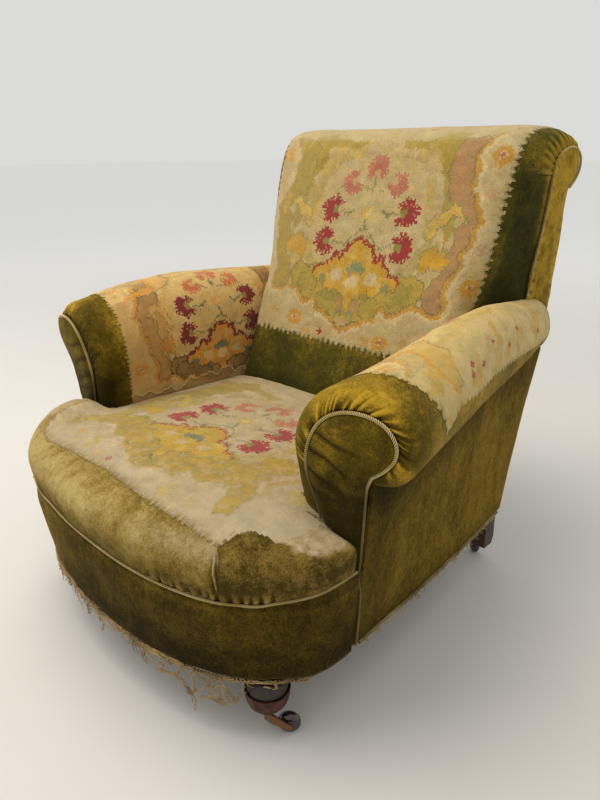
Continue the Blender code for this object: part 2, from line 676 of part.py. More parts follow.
# ---------------------------------------------------------------- arms
SECTION = [i / 26 for i in range(27)]
GATHERED = [0.20 + 0.70 * i / 34 for i in range(35)]
ARM_STATIONS = (0.0, 0.12, 0.40, 0.70, 1.0)
WALL_TOP = 0.27             # share of the section that is the flat inner wall
ARM_HEART = (0.3080, 0.5180)    # middle of the roll's rear end


def gather(k, share):
    """Height of the drawn folds round the roll's front, at share 0 to 1 towards the cord."""
    if not GATHERED[0] < k < GATHERED[-1]:
        return 0.0
    along_roll = (k - GATHERED[0]) / (GATHERED[-1] - GATHERED[0])
    return GATHER_DEPTH * share * math.cos(2 * math.pi * GATHERS * along_roll)


def arm_sections(sign):
    """Rows of the arm's cover: rounded in from the cord on its front, then along to the back."""
    around = sorted({0.0, 0.06, 0.13} | set(GATHERED) | {0.95, 1.0})
    rows = []
    for step in (0.94, 0.60, 0.30):
        sweep = step * math.pi / 2
        row = []
        for k in around:
            x, z = arm_section(k, 0.0, sign, -gather(k, 1.0 - 0.2 * step))
            lx, lz = along(ARM_LOOP, k)
            pull = 1 - math.cos(sweep)
            x, z = lerp(x, lx, pull), lerp(z, lz, pull)
            y = arm_plane(x, z) + 0.0008 + ARM_ROUND * (1 - math.sin(sweep))
            row.append(Vector((x, y, z)))
        rows.append(row)
    for t in ARM_STATIONS:
        row = []
        for k in around:
            x, z = arm_section(k, t, sign, -gather(k, max(0.0, 0.8 - 8 * t)))
            y = lerp(arm_plane(x, z) + ARM_ROUND, arm_end(z), t)
            row.append(Vector((x, y, z)))
        rows.append(row)
    for pull, out in ((0.30, 0.0030), (0.80, 0.0040)):
        row = []
        for k in around:
            x, z = arm_section(k, 1.0, sign)
            if k < WALL_TOP:
                x += pull * 0.0250 * k / WALL_TOP + pull * 0.0060
            else:
                part = (k - WALL_TOP) / (1 - WALL_TOP)
                near = max(1 - 6 * part, 0.0)
                x = lerp(lerp(x, ARM_HEART[0], pull), x + pull * 0.0310, near)
                z = lerp(lerp(z, ARM_HEART[1], pull), z, near)
            row.append(Vector((x, arm_end(z) + out, z)))
        rows.append(row)
    return rows


def arm(side, sign):
    rows = arm_sections(sign)
    sheet(f"arm_cover_{side}", rows if sign > 0 else mirror_x(rows), carpet, flip=sign > 0)

    # the stuffing fills the roll, rests on the arm rail and runs down the inside as a wall
    rings = []
    for t in (0.0, 0.16, 0.40, 0.70, 1.0):
        ring = []
        for k in [i / 15 for i in range(16)]:
            x, z = arm_section(k, t, sign, UNDER_COVER + 0.0030 * (1 - t))
            y = lerp(arm_plane(x, z) + ARM_ROUND, arm_end(z) - 0.0040, t)
            ring.append(Vector((x, y, z)))
        notch_x, notch_z = arm_section(1.0, t, sign)
        wall = lerp(0.2980, 0.2745, t)
        floor = notch_z - lerp(0.0020, 0.0030, t)
        corner_y = lerp(arm_plane(wall, floor) + ARM_ROUND, arm_end(floor) - 0.0040, t)
        foot_y = lerp(arm_plane(wall, ARM_FOOT) + ARM_ROUND, arm_end(ARM_FOOT) - 0.0040, t)
        ring[-1] = Vector((notch_x - 0.0060, ring[-1].y, floor + 0.0030))
        ring.append(Vector((wall + 0.0020, corner_y, floor)))
        ring.append(Vector((wall, foot_y, ARM_FOOT)))
        rings.append(ring)
    loft(f"arm_stuffing_{side}", rings if sign > 0 else mirror_x(rings), stuffing)


def outside_arm(side, sign):
    """The flat cover on the outside of the arm, hollowed a little between the rails."""
    rows = []
    for u in spread(5):
        row = []
        for t in [-1.0] + spread(8):
            turn_in, t = (0.0120, 0.0) if t < 0 else (0.0, t)
            top_x, top_z = arm_section(1.0, t, sign)
            top_z = min(top_z - 0.0060, 0.4620)
            low_x = lerp(0.3450, 0.3030, t) + 0.0060 * math.sin(math.pi * t)
            x = lerp(low_x, top_x + 0.0010, u) - 0.0060 * math.sin(math.pi * u) * math.sin(math.pi * t)
            z = lerp(HEM, top_z, u)
            y = lerp(arm_plane(x, z) + 0.0066, rear_face(z) - 0.0045, t)
            row.append(Vector((sign * (x - turn_in), y, z)))
        rows.append(row)
    sheet(f"outside_arm_{side}", rows, plush, thickness=0.0030, flip=sign < 0)


def arm_facing(side, sign):
    """The padded panel on the front of the arm, inside the cord."""
    heart = (0.3600, 0.4450)
    outline = []
    for x, z in [along(ARM_LOOP, k / 22) for k in range(23)]:
        away = math.hypot(x - heart[0], z - heart[1])
        inward = table(((0.2750, 0.0150), (0.3300, 0.0130), (0.3600, 0.0048)), z)
        outline.append((lerp(x, heart[0], inward / away), lerp(z, heart[1], inward / away)))
    outline += [(0.3800, 0.4180), (0.3734, 0.3500), (0.3652, 0.2900), (0.3614, 0.2640), (0.3240, 0.2640)]
    rings = []
    for share, depth in ((0.0, 0.0060), (0.0, 0.0), (0.22, -0.0070), (0.60, -0.0100)):
        ring = []
        for x, z in outline:
            px, pz = lerp(x, heart[0], share), lerp(z, max(min(z, 0.4600), 0.2900), share)
            ring.append(Vector((sign * px, arm_plane(px, pz) + depth, pz)))
        rings.append(ring)
    loft(f"arm_facing_{side}", rings, plush_dark)


def arm_cord(side, sign):
    """Cord round the arm's front: up beside the seat, round the scroll and down the edge to the hem."""
    route = [along(ARM_LOOP, k) for k in spread(26)][1:]
    edge = ((0.3860, 0.4240), (0.3830, 0.4000), (0.3775, 0.3500), (0.3712, 0.3000), (0.3660, 0.2640),
            (0.3612, 0.2150), (0.3555, 0.1600), (0.3510, 0.1240))
    route += [along(edge, k) for k in spread(12)]
    points = []
    for x, z in route:
        ahead = table(((0.2360, -0.0022), (0.2620, 0.0054)), z) if x > 0.3400 else 0.0054
        y = arm_plane(x, z) - ahead
        points.append((sign * x, y, z))
    tube(f"arm_cord_{side}", points, 0.0036, rope, resolution=1)


# ---------------------------------------------------------------- back
def back_outer(k):
    """A point (y, z) of the back's cover: k 0 to 0.5 runs up the front, 0.5 to 1 over the roll."""
    if k <= 0.5:
        z = lerp(BACK_FOOT, BACK_ROLL[0][1], k / 0.5)
        return back_face(z), z
    return along(BACK_ROLL, (k - 0.5) / 0.5)


def back_loop(k):
    """The line on the back's side to which the cover is drawn, at the same place."""
    if k <= 0.5:
        z = lerp(BACK_FOOT, BACK_ROLL[0][1], k / 0.5)
        if z < BACK_CORD[0][1]:
            return lerp(0.2000, BACK_CORD[0][0], (z - BACK_FOOT) / (BACK_CORD[0][1] - BACK_FOOT)), z
        return table([(cz, cy) for cy, cz in BACK_CORD], z), z
    return along(BACK_LOOP, (k - 0.5) / 0.5)


BACK_LEVELS = (BACK_FOOT, 0.3800, 0.4800, 0.5620, 0.6000, 0.6400, 0.6800, 0.7400)
BACK_RISE = [0.5 * (z - BACK_FOOT) / (BACK_ROLL[0][1] - BACK_FOOT) for z in BACK_LEVELS]
BACK_RISE += [0.5 + 0.5 * i / 16 for i in range(17)]


def back_inset(k, inset):
    """The same place, this far below the cover."""
    y, z = back_outer(k)
    a, b = back_outer(max(k - 0.01, 0.0)), back_outer(min(k + 0.01, 1.0))
    length = math.hypot(b[0] - a[0], b[1] - a[1])
    return y + inset * (b[1] - a[1]) / length, z - inset * (b[0] - a[0]) / length


def back_row(k):
    """One row across the back, from its left side's cord to its right side's."""
    y, z = back_outer(k)
    ly, lz = back_loop(k)
    reach = math.hypot(ly - y, lz - z)
    rounding = back_round(z)
    corner = min(rounding, 0.85 * reach)
    half = back_half(z)
    right = []
    for sweep in (0.0, 30.0, 60.0, 90.0):
        s = math.radians(sweep)
        share = corner * (1 - math.cos(s)) / reach
        right.append(Vector((half - rounding * (1 - math.sin(s)), lerp(y, ly, share), lerp(z, lz, share))))
    edge_half = half if z < 0.5630 else side_half(z)
    right.append(Vector((edge_half, ly, lz)))
    flat = [Vector((right[0].x * u, y, z)) for u in (0.35, 0.7)]
    sides = flat + right
    return [Vector((-p.x, p.y, p.z)) for p in reversed(sides)] + sides


def back():
    sheet("back_cover", [back_row(k) for k in BACK_RISE], carpet, flip=False)

    # the stuffing fills the front and the roll, and ends in front of the posts and the top rail
    behind = ((0.2300, 0.2800), (0.2750, 0.3800), (0.3300, 0.4800), (0.3540, 0.5620), (0.3570, 0.6000),
              (0.3590, 0.6400), (0.3600, 0.6800), (0.3650, 0.7400), (0.3780, 0.7930))
    over = [0.5 + 0.5 * i / 9 for i in range(10)]
    front_count = len(BACK_LEVELS)
    rings = []
    for sign, share_in in ((-1, 0.20), (-1, 0.55), (-1, 1.0), (1, 1.0), (1, 0.55), (1, 0.20)):
        ring = []
        for k in BACK_RISE[:front_count] + over:
            y, z = back_inset(k, UNDER_COVER)
            ly, lz = back_loop(k)
            reach = math.hypot(ly - y, lz - z)
            rounding = back_round(z)
            from_side = share_in * rounding + 0.0040
            sweep = math.asin(max(1 - (from_side - 0.0040) / rounding, 0.0))
            sunk = min(rounding, 0.85 * reach) * (1 - math.cos(sweep)) + (0.0060 if share_in < 1 else 0.0)
            share = min(sunk / reach, 0.85)
            y, z = lerp(y, ly, share), lerp(z, lz, share)
            if k < 0.5:
                z = BACK_LEVELS[BACK_RISE.index(k)]
            ring.append(Vector((sign * (back_half(z) - from_side), y, z)))
        for y, z in ((0.4120, 0.7930),) + behind[::-1]:
            ring.append(Vector((sign * (back_half(z) - share_in * back_round(z) - 0.0040), y, z)))
        rings.append(ring)
    bm = bmesh.new()
    made = grid_mesh(bm, rings, closed=True)
    count = len(rings[0])
    for end in (made[0], made[-1]):
        for i in range(front_count):
            bm.faces.new((end[i], end[i + 1], end[count - 2 - i], end[count - 1 - i]))
        bm.faces.new(end[front_count:count - front_count])
    place("back_stuffing", mesh_of("back_stuffing", bm), stuffing)


def back_facing(side, sign):
    """The panel on the back's side, between its cord and the rear edge, with the scroll at its top."""
    front = [(0.3680, 0.4660), (0.3700, 0.5600), (0.3650, 0.6010), (0.3640, 0.6400), (0.3590, 0.6800),
             (0.3475, 0.7400)]
    scroll = [along(BACK_LOOP, k) for k in spread(12)]
    centre = (0.3900, 0.8060)
    inner = [(lerp(y, centre[0], 0.0040 / math.hypot(y - centre[0], z - centre[1])),
              lerp(z, centre[1], 0.0040 / math.hypot(y - centre[0], z - centre[1]))) for y, z in scroll]
    rear = [(0.4180, 0.7400), (0.4280, 0.6800), (0.4300, 0.6400), (0.4260, 0.6010), (0.4240, 0.5600),
            (0.4060, 0.4660)]
    outline = front + inner + rear
    loft(f"back_facing_{side}",
         [[Vector((sign * (side_half(z) - depth), y, z)) for y, z in outline] for depth in (0.0, 0.0045)],
         plush)


def back_cord(side, sign):
    route = [along(BACK_CORD, k) for k in spread(12)][:-1] + [along(BACK_LOOP, k) for k in spread(14)]
    points = [(sign * (side_half(z) + 0.0054), y, z) for y, z in route]
    tube(f"back_cord_{side}", points, 0.0030, rope, resolution=1)


def outside_back():
    """The plain cover over the back of the frame, from the hem to the roll."""
    levels = (HEM, 0.2200, 0.3310, 0.4530, 0.5570, 0.5900, 0.6600, 0.7000, 0.7450)
    rows = []
    for z in levels:
        half = side_half(z) - 0.0010
        bulge = 0.0060 * math.sin(math.pi * (z - HEM) / (0.7450 - HEM))
        rows.append([Vector((half * u, rear_face(z) + 0.0010 + bulge * (1 - u * u), z))
                     for u in (-1.0, -0.66, -0.33, 0.0, 0.33, 0.66, 1.0)])
    sheet("outside_back", rows, plush, thickness=0.0030, flip=True)


# ---------------------------------------------------------------- assembly
front_rail()
cross_rails()
for each_side, each_sign in SIDES:
    side_frame(each_side, each_sign)
    back_leg(each_side, each_sign)
    front_foot(each_side, each_sign)
castors()
webbing()
seat_springs()
hessian()
seat()
front_border()
lip_cord()
fringe_braid()
back()
outside_back()
for each_side, each_sign in SIDES:
    arm(each_side, each_sign)
    outside_arm(each_side, each_sign)
    arm_facing(each_side, each_sign)
    arm_cord(each_side, each_sign)
    back_facing(each_side, each_sign)
    back_cord(each_side, each_sign)
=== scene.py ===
# %% [markdown]
# An easy chair of about 1890 to 1910, sprung and stuffed by hand, covered in olive plush with panels of
# knotted woollen pile, and very worn. The chair is dressed over a fixed frame: the solids that hold its
# shape, on castors that turn. This cell loads them and sets each one's place into its own mesh.

import math

import bpy
import numpy as np
from mathutils import Matrix, Vector


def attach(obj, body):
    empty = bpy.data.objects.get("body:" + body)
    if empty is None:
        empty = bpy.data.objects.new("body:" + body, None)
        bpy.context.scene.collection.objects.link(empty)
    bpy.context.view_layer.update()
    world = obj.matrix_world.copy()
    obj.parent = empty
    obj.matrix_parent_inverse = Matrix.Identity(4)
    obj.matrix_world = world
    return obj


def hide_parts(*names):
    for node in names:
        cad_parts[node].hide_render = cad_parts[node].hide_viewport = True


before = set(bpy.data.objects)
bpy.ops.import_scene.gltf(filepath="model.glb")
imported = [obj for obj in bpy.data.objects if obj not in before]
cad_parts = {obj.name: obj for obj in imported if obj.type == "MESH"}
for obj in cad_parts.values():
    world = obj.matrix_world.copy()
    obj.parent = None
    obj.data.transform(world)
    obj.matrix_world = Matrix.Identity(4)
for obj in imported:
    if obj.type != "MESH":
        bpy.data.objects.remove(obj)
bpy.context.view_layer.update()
# %% [markdown]
# A swatch is judged on a screen, in sRGB, while light is reckoned in linear numbers. One function turns the
# first into the second. Nodes are wired by one small function, which adds a node, sets it and links it.
# What feeds a socket is named by its node, which stands for its first output, or by a pair of the node and
# an output's name.

# %% Colour and node helpers
def linear(code):
    """An sRGB hex colour as linear red, green and blue."""
    channels = [int(code[i:i + 2], 16) / 255 for i in (1, 3, 5)]
    return tuple(c / 12.92 if c <= 0.04045 else ((c + 0.055) / 1.055) ** 2.4 for c in channels)


def opaque(code):
    """The same with the alpha that a colour socket wants."""
    return (*linear(code), 1.0)


def join(tree, source, socket):
    """Links a source to a socket: a node's first output in use, or the output named in a pair."""
    if isinstance(source, tuple):
        output = source[0].outputs[source[1]]
    else:
        output = next(o for o in source.outputs if o.enabled)
    tree.links.new(output, socket)


def node(tree, kind, values=(), links=(), **settings):
    """Adds one shader node: its settings, its sockets' values, then its links."""
    made = tree.nodes.new("ShaderNode" + kind)
    for key, value in settings.items():
        setattr(made, key, value)
    for socket, value in dict(values).items():
        made.inputs[socket].default_value = value
    for socket, source in dict(links).items():
        join(tree, source, made.inputs[socket])
    return made


def complete(tree, shader, colour, height, strength, distance, constants):
    """Ends a finish: its colour, its relief as a bump, and the shader's constants."""
    join(tree, colour, shader.inputs["Base Color"])
    bump = node(tree, "Bump", {"Strength": strength, "Distance": distance}, {"Height": height})
    join(tree, bump, shader.inputs["Normal"])
    for socket, value in constants.items():
        shader.inputs[socket].default_value = value


def start_material(name):
    """A material with a Principled shader, and the tree to build on."""
    made = bpy.data.materials.new(name)
    made.use_nodes = True
    return made, made.node_tree, made.node_tree.nodes["Principled BSDF"]


print("olive", [round(c, 3) for c in linear("#6B5A18")])
# %% [markdown]
# The room is left out: a plain pale floor, and soft light from large lamps, as in a plain studio. The main
# light comes from above, so the tops of the arms are brightest and the chair stands in its own soft shadow.
# The camera stands at the chair's right front corner, at the height of its top, and looks down a little.

# %% Camera, lights and floor
scene = bpy.context.scene
scene.view_settings.view_transform = "Standard"

CAMERA_AT = (0.859, -0.867, 0.843)
CAMERA_TURN, CAMERA_DOWN, CAMERA_ROLL = (math.radians(a) for a in (44.025, 20.88, -0.224))
ahead = Vector((-math.sin(CAMERA_TURN) * math.cos(CAMERA_DOWN),
                math.cos(CAMERA_TURN) * math.cos(CAMERA_DOWN), -math.sin(CAMERA_DOWN)))
lens = bpy.data.cameras.new("camera")
lens.lens = 29.68
lens.sensor_width = 36.0
camera = bpy.data.objects.new("camera", lens)
scene.collection.objects.link(camera)
camera.matrix_world = (Matrix.Translation(CAMERA_AT) @ ahead.to_track_quat("-Z", "Y").to_matrix().to_4x4()
                       @ Matrix.Rotation(CAMERA_ROLL, 4, "Z"))
scene.camera = camera


def lamp(name, at, target, size, watts, colour):
    """A large square area light that looks at a point."""
    light = bpy.data.lights.new(name, "AREA")
    light.shape = "SQUARE"
    light.size = size
    light.energy = watts
    light.color = linear(colour)
    obj = bpy.data.objects.new(name, light)
    scene.collection.objects.link(obj)
    obj.matrix_world = (Matrix.Translation(at)
                        @ (Vector(target) - Vector(at)).to_track_quat("-Z", "Y").to_matrix().to_4x4())
    return obj


lamp("ceiling_light", (-0.6, -0.6, 3.0), (0.0, 0.0, 0.3), 2.0, 54.0, "#FFF4E4")
lamp("window_light", (-2.2, -1.6, 1.8), (0.0, -0.1, 0.3), 1.6, 14.0, "#FFFFFF")

world = bpy.data.worlds.new("studio")
world.use_nodes = True
sky = world.node_tree.nodes["Background"].inputs
sky["Color"].default_value = opaque("#F2F2F0")
sky["Strength"].default_value = 0.8
scene.world = world

floor_finish, tree, shader = start_material("pale_painted_floor")
place = (node(tree, "TexCoord"), "Object")
spots = node(tree, "TexNoise", {"Scale": 3.0, "Detail": 3.0}, {"Vector": place})
tone = node(tree, "Mix", {"A": opaque("#D6D4CF"), "B": opaque("#DCDAD6")}, {"Factor": spots},
            data_type="RGBA")
# the floor pales away from the chair, so that it meets the light without a hard line
away = node(tree, "VectorMath", links={0: place}, operation="LENGTH")
far = node(tree, "MapRange", {"From Min": 1.2, "From Max": 5.0}, {"Value": away},
           interpolation_type="SMOOTHSTEP")
painted = node(tree, "Mix", {"B": opaque("#FAFAF8")}, {"Factor": far, "A": tone}, data_type="RGBA")
join(tree, painted, shader.inputs["Base Color"])
shader.inputs["Roughness"].default_value = 0.9
floor_mesh = bpy.data.meshes.new("floor")
floor_mesh.from_pydata([(-40, -40, 0), (40, -40, 0), (40, 40, 0), (-40, 40, 0)], [], [(0, 1, 2, 3)])
floor_mesh.materials.append(floor_finish)
floor = bpy.data.objects.new("floor", floor_mesh)
scene.collection.objects.link(floor)
print("camera", round(math.dist(CAMERA_AT, (0, 0, 0.45)), 2), "m from the chair's middle")
# %% [markdown]
# Every cover is a surface through rows of points, at the same dimensions as the frame's solids but with
# many more points, so that it can carry creases. Rows were chosen over sculpting because each seam is then
# a line at a known place. The first helpers are for curves: a smooth curve through given points, and a
# smooth look-up.

# %% Curve helpers
def lerp(a, b, t):
    return a + (b - a) * t


def shares(count):
    """Even steps from 0 to 1."""
    return np.linspace(0, 1, count)


def together(*parts):
    """Numbers side by side: each point's x, y and z, for instance."""
    return np.stack(np.broadcast_arrays(*parts), axis=-1)


def along(points, t):
    """Points at shares t, 0 to 1, of a smooth curve through the given points."""
    p = np.asarray(points, float)
    t = np.clip(np.asarray(t, float), 0, 1) * (len(p) - 1)
    i = np.minimum(t.astype(int), len(p) - 2)
    f = (t - i)[..., None]
    a, b, c, d = p[np.maximum(i - 1, 0)], p[i], p[i + 1], p[np.minimum(i + 2, len(p) - 1)]
    return 0.5 * (2 * b + (c - a) * f + (2 * a - 5 * b + 4 * c - d) * f ** 2 + (3 * b - a - 3 * c + d)
                  * f ** 3)


def table(pairs, key):
    """Straight-line look-up in (key, value) pairs."""
    return np.interp(key, [k for k, _ in pairs], [v for _, v in pairs])


def soft_table(pairs, key, width):
    """The same with its corners rounded over this width."""
    return sum(table(pairs, key + width * s) for s in np.linspace(-1, 1, 9)) / 9


def smooth(share):
    """0 to 1 with no corner at either end."""
    share = np.clip(share, 0, 1)
    return share * share * (3 - 2 * share)


def rise(value, start, over):
    """0 up to the start, then smoothly up to 1 over this much more."""
    return smooth((value - start) / over)


def fall(value, end, over):
    """1 until this much before the end, then smoothly down to 0 at the end."""
    return smooth((end - value) / over)


def hill(value, middle, reach):
    """1 at the middle, falling smoothly to 0 at this reach on both sides."""
    return smooth(1 - np.abs(value - middle) / reach)


print("a curve's middle:", along(((0, 0), (1, 1), (2, 0)), 0.5))
# %% [markdown]
# Old covers are never even. Repeatable noise, worked out from each point's own place, gives every surface
# its dents and its patches of wear, and gives the same chair each time the file is run.

# %% Noise
def hashed(i, j, seed):
    """A repeatable random number from 0 to 1 for a cell."""
    n = np.sin(i * 127.1 + j * 311.7 + seed * 74.7) * 43758.5453
    return n - np.floor(n)


def soft_noise(u, v, cell, seed):
    """Smooth noise from -1 to 1 that changes over about one cell, in metres."""
    a, b = np.asarray(u, float) / cell, np.asarray(v, float) / cell
    i, j = np.floor(a), np.floor(b)
    f, g = a - i, b - j
    f, g = f * f * (3 - 2 * f), g * g * (3 - 2 * g)
    low = hashed(i, j, seed) * (1 - f) + hashed(i + 1, j, seed) * f
    high = hashed(i, j + 1, seed) * (1 - f) + hashed(i + 1, j + 1, seed) * f
    return 2 * (low * (1 - g) + high * g) - 1


print("noise at one place:", round(float(soft_noise(0.1, 0.2, 0.05, 1)), 3))
# %% [markdown]
# Three helpers turn rows of points into a piece: one finds which way the surface faces, one measures along
# it in metres, as a tape laid on the cloth would, and one makes the mesh. Where a vertex colour is needed,
# the mesh carries it in a named layer, which holds how worn each point is, with painted highlight on crests,
# how dark, for crushed pile and for painted shade in folds, seams and under rolls, and how pale and dusty.

# %% Lattice helpers
def facing(points, flip=False):
    """The way out from each point of a lattice, by the same rule as its faces."""
    across = np.gradient(points, axis=1)
    down = np.gradient(points, axis=0)
    n = np.cross(down, across) if flip else np.cross(across, down)
    return n / np.maximum(np.linalg.norm(n, axis=-1, keepdims=True), 1e-12)


def tape(points, axis):
    """Length along the lattice from its first row or column."""
    steps = np.linalg.norm(np.diff(points, axis=axis), axis=-1)
    zero = np.zeros_like(np.take(steps, [0], axis=axis))
    return np.concatenate([zero, np.cumsum(steps, axis=axis)], axis=axis)


def mesh_piece(name, vertices, faces, finish, body="chair", sharp=None):
    """A mesh object with its finish, riding on a body."""
    mesh = bpy.data.meshes.new(name)
    mesh.from_pydata(vertices, [], faces)
    mesh.materials.append(finish)
    mesh.shade_smooth()
    if sharp:
        mesh.set_sharp_from_angle(angle=math.radians(sharp))
    obj = bpy.data.objects.new(name, mesh)
    scene.collection.objects.link(obj)
    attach(obj, body)
    return obj


def add_wear_and_painted_light(obj, wear):
    """Puts a colour on each point: red for worn and painted highlight, green for dark and painted shade, blue
    for pale.
    """
    layer = obj.data.attributes.new("wear", "FLOAT_COLOR", "POINT")
    flat = np.ones((len(obj.data.vertices), 4), np.float32)
    flat[:, :3] = np.clip(np.asarray(wear, float).reshape(-1, 3), 0, 1)
    layer.data.foreach_set("color", flat.ravel())


def between_rows(index):
    """The four corners of every face of a lattice, from its grid of point numbers."""
    return together(index[:-1, :-1], index[:-1, 1:], index[1:, 1:], index[1:, :-1])


def lattice(name, points, finish, wear, ring=False, flip=False):
    """A piece through rows of points, with worn gold, pale dusty patches, painted highlight and painted
    shade. ring joins a row's end to its start.
    """
    rows, count = points.shape[:2]
    index = np.arange(rows * count).reshape(rows, count)
    if ring:
        index = np.concatenate([index, index[:, :1]], axis=1)
    quads = between_rows(index).reshape(-1, 4)
    faces = (quads[:, ::-1] if flip else quads).tolist()
    obj = mesh_piece(name, points.reshape(-1, 3).tolist(), faces, finish)
    add_wear_and_painted_light(obj, together(*wear, points[..., 0])[..., :3])
    return obj


CLOTH = 0.002  # plush with its backing, m


def thicken(obj, thickness=CLOTH):
    """Gives a cover its cloth's thickness, inwards."""
    solid = obj.modifiers.new("cloth", "SOLIDIFY")
    solid.thickness = thickness
    solid.offset = -1.0
    solid.use_even_offset = False
    return obj


print("helpers ready")
# %% [markdown]
# The covers are olive plush: a woven pile of wool or mohair about 2 mm high, cut, and dyed in the piece.
# Looked at along the pile it is dark green, and across it golden, because light then meets the sides of the
# fibres. A century of hands has crushed it in patches and worn the crests to a dull gold. The shader mixes
# those tones by noise at three sizes and by the piece's own colour layer, whose gold also stands for painted
# highlight and whose dark also stands for painted shade, and a little sheen stands for the pile's bright rim.

# %% Plush finish
def plush(name, deep, middle, crest, streak=(1.0, 1.0, 1.0), patch=11.0, broad=0.6, fine=1.0, sheen=0.2,
          dust_and_highlight="#B09A6C"):
    """Worn plush. streak stretches its pattern, patch is blotches per metre, broad and fine its shares."""
    made, tree, shader = start_material(name)
    place = (node(tree, "TexCoord"), "Object")
    laid = node(tree, "Mapping", {"Scale": streak}, {"Vector": place})
    blotch = node(tree, "TexNoise", {"Scale": patch, "Detail": 4.0, "Roughness": 0.62, "Distortion": 0.6},
                  {"Vector": laid})
    crush = node(tree, "TexNoise", {"Scale": 85.0, "Detail": 6.0, "Roughness": 0.74, "Distortion": 0.5},
                 {"Vector": laid})
    # 2.4 mm tufts, drawn coarser than the real fibres
    pile = node(tree, "TexNoise", {"Scale": 420.0, "Detail": 3.0, "Roughness": 0.75}, {"Vector": laid})
    wide = node(tree, "Math", {1: broad}, {0: blotch}, operation="MULTIPLY")
    both = node(tree, "Math", {1: 0.62 * fine}, {0: crush, 2: wide}, operation="MULTIPLY_ADD")
    all_three = node(tree, "Math", {1: 0.75 * fine}, {0: pile, 2: both}, operation="MULTIPLY_ADD")
    wear = node(tree, "SeparateColor", links={"Color": node(tree, "Attribute", attribute_name="wear")})
    # red lifts the tone to gold, for worn crests and painted highlight; green lowers it, for crushed pile and
    # painted shade
    lifted = node(tree, "Math", {1: 0.42}, {0: (wear, "Red"), 2: all_three}, operation="MULTIPLY_ADD")
    lowered = node(tree, "Math", {1: -0.42}, {0: (wear, "Green"), 2: lifted}, operation="MULTIPLY_ADD")
    halved = node(tree, "Math", {1: 0.5}, {0: lowered}, operation="MULTIPLY")
    tones = node(tree, "ValToRGB", links={"Fac": halved})
    ramp = tones.color_ramp
    centre = 0.5 * broad + 0.685 * fine
    stops = ((centre - 0.28, deep), (centre - 0.01, middle), (centre + 0.27, crest))
    while len(ramp.elements) < len(stops):
        ramp.elements.new(0.5)
    for element, (at, code) in zip(ramp.elements, stops):
        element.position = at / 2
        element.color = opaque(code)
    dusty = node(tree, "Math", {1: 0.9}, {0: (wear, "Blue")}, operation="MULTIPLY")
    broken = node(tree, "MapRange", {"From Min": 0.38, "From Max": 0.62, "To Min": 0.45},
                  {"Value": crush})
    dust_part = node(tree, "Math", links={0: dusty, 1: broken}, operation="MULTIPLY", use_clamp=True)
    pale = node(tree, "Mix", {"B": opaque(dust_and_highlight)}, {"Factor": dust_part, "A": tones}, data_type="RGBA")
    relief = node(tree, "Math", {1: 2.2}, {0: crush, 2: pile}, operation="MULTIPLY_ADD")
    complete(tree, shader, pale, relief, 0.55, 0.0009,
             {"Roughness": 0.92, "Specular IOR Level": 0.08, "Sheen Weight": sheen, "Sheen Roughness": 0.45,
              "Sheen Tint": opaque("#C9B46A")})
    return made


olive = plush("olive_wool_plush", "#261F03", "#5C4A0E", "#B08C26", fine=0.72)
olive_outside = plush("olive_plush_outside", "#241D04", "#54420E", "#8C7022", streak=(1.2, 1.2, 0.9),
                      patch=9.0, broad=0.4, sheen=0.03)
olive_shade = plush("olive_plush_in_shade", "#1E2008", "#454014", "#947824", broad=0.45, fine=0.75,
                    sheen=0.1)
olive_seat = plush("olive_plush_sat_on", "#3E300C", "#826A30", "#B09C64", patch=14.0, broad=0.6, fine=0.9,
                   dust_and_highlight="#B6A284")
print("plush finishes: 4")
# %% [markdown]
# The panels' pile is knotted wool, about 3.4 mm to a knot, which stands as a soft little cushion of cut
# yarn. Each knot's dye comes from the chart through a colour layer. The shader adds what one knot shows: a
# domed top from its own place on the loom, strands of yarn, and a slight change of tone from strand to
# strand.

# %% Knotted pile finish
knotted, tree, shader = start_material("knotted_wool_pile")
loom = node(tree, "UVMap", uv_map="knots")
within = node(tree, "VectorMath", links={0: loom}, operation="FRACTION")
middle = node(tree, "VectorMath", {1: (0.5, 0.5, 0.0)}, {0: within}, operation="DISTANCE")
yarn = node(tree, "TexNoise", {"Scale": 700.0, "Detail": 3.0, "Roughness": 0.75},
            {"Vector": (node(tree, "TexCoord"), "Object")})
soft = node(tree, "TexNoise", {"Scale": 40.0, "Detail": 4.0, "Roughness": 0.65},
            {"Vector": (node(tree, "TexCoord"), "Object")})
dye = node(tree, "Attribute", attribute_name="dye")
shade = node(tree, "MapRange", {"From Min": 0.25, "From Max": 0.75, "To Min": 0.72, "To Max": 1.22},
             {"Value": yarn})
cloudy = node(tree, "MapRange", {"From Min": 0.3, "From Max": 0.7, "To Min": 0.86, "To Max": 1.1},
              {"Value": soft})
toned = node(tree, "Math", links={0: shade, 1: cloudy}, operation="MULTIPLY")
seen = node(tree, "VectorMath", links={0: dye, "Scale": toned}, operation="SCALE")
dome = node(tree, "Math", {1: -0.9}, {0: middle, 2: yarn}, operation="MULTIPLY_ADD")
complete(tree, shader, seen, dome, 0.6, 0.0009,
         {"Roughness": 0.95, "Specular IOR Level": 0.2, "Sheen Weight": 0.15, "Sheen Roughness": 0.6})
print("knotted pile:", len(tree.nodes), "nodes")
# %% [markdown]
# The woven panels are knotted pile in the manner of old Turkey carpets: every knot is one colour, about 3.4
# mm across, so each outline climbs in little steps. A weaver follows a chart, and so does this cell. A
# chart is a grid of knots, and each motif is laid over it by a short rule of shape. Rules were chosen over
# a drawn picture because the same motifs then fit the seat, the back and both arms, each with its own dyes.

# %% The knot chart
KNOT = 0.0034  # the side of a knot, m
PETALS = 19


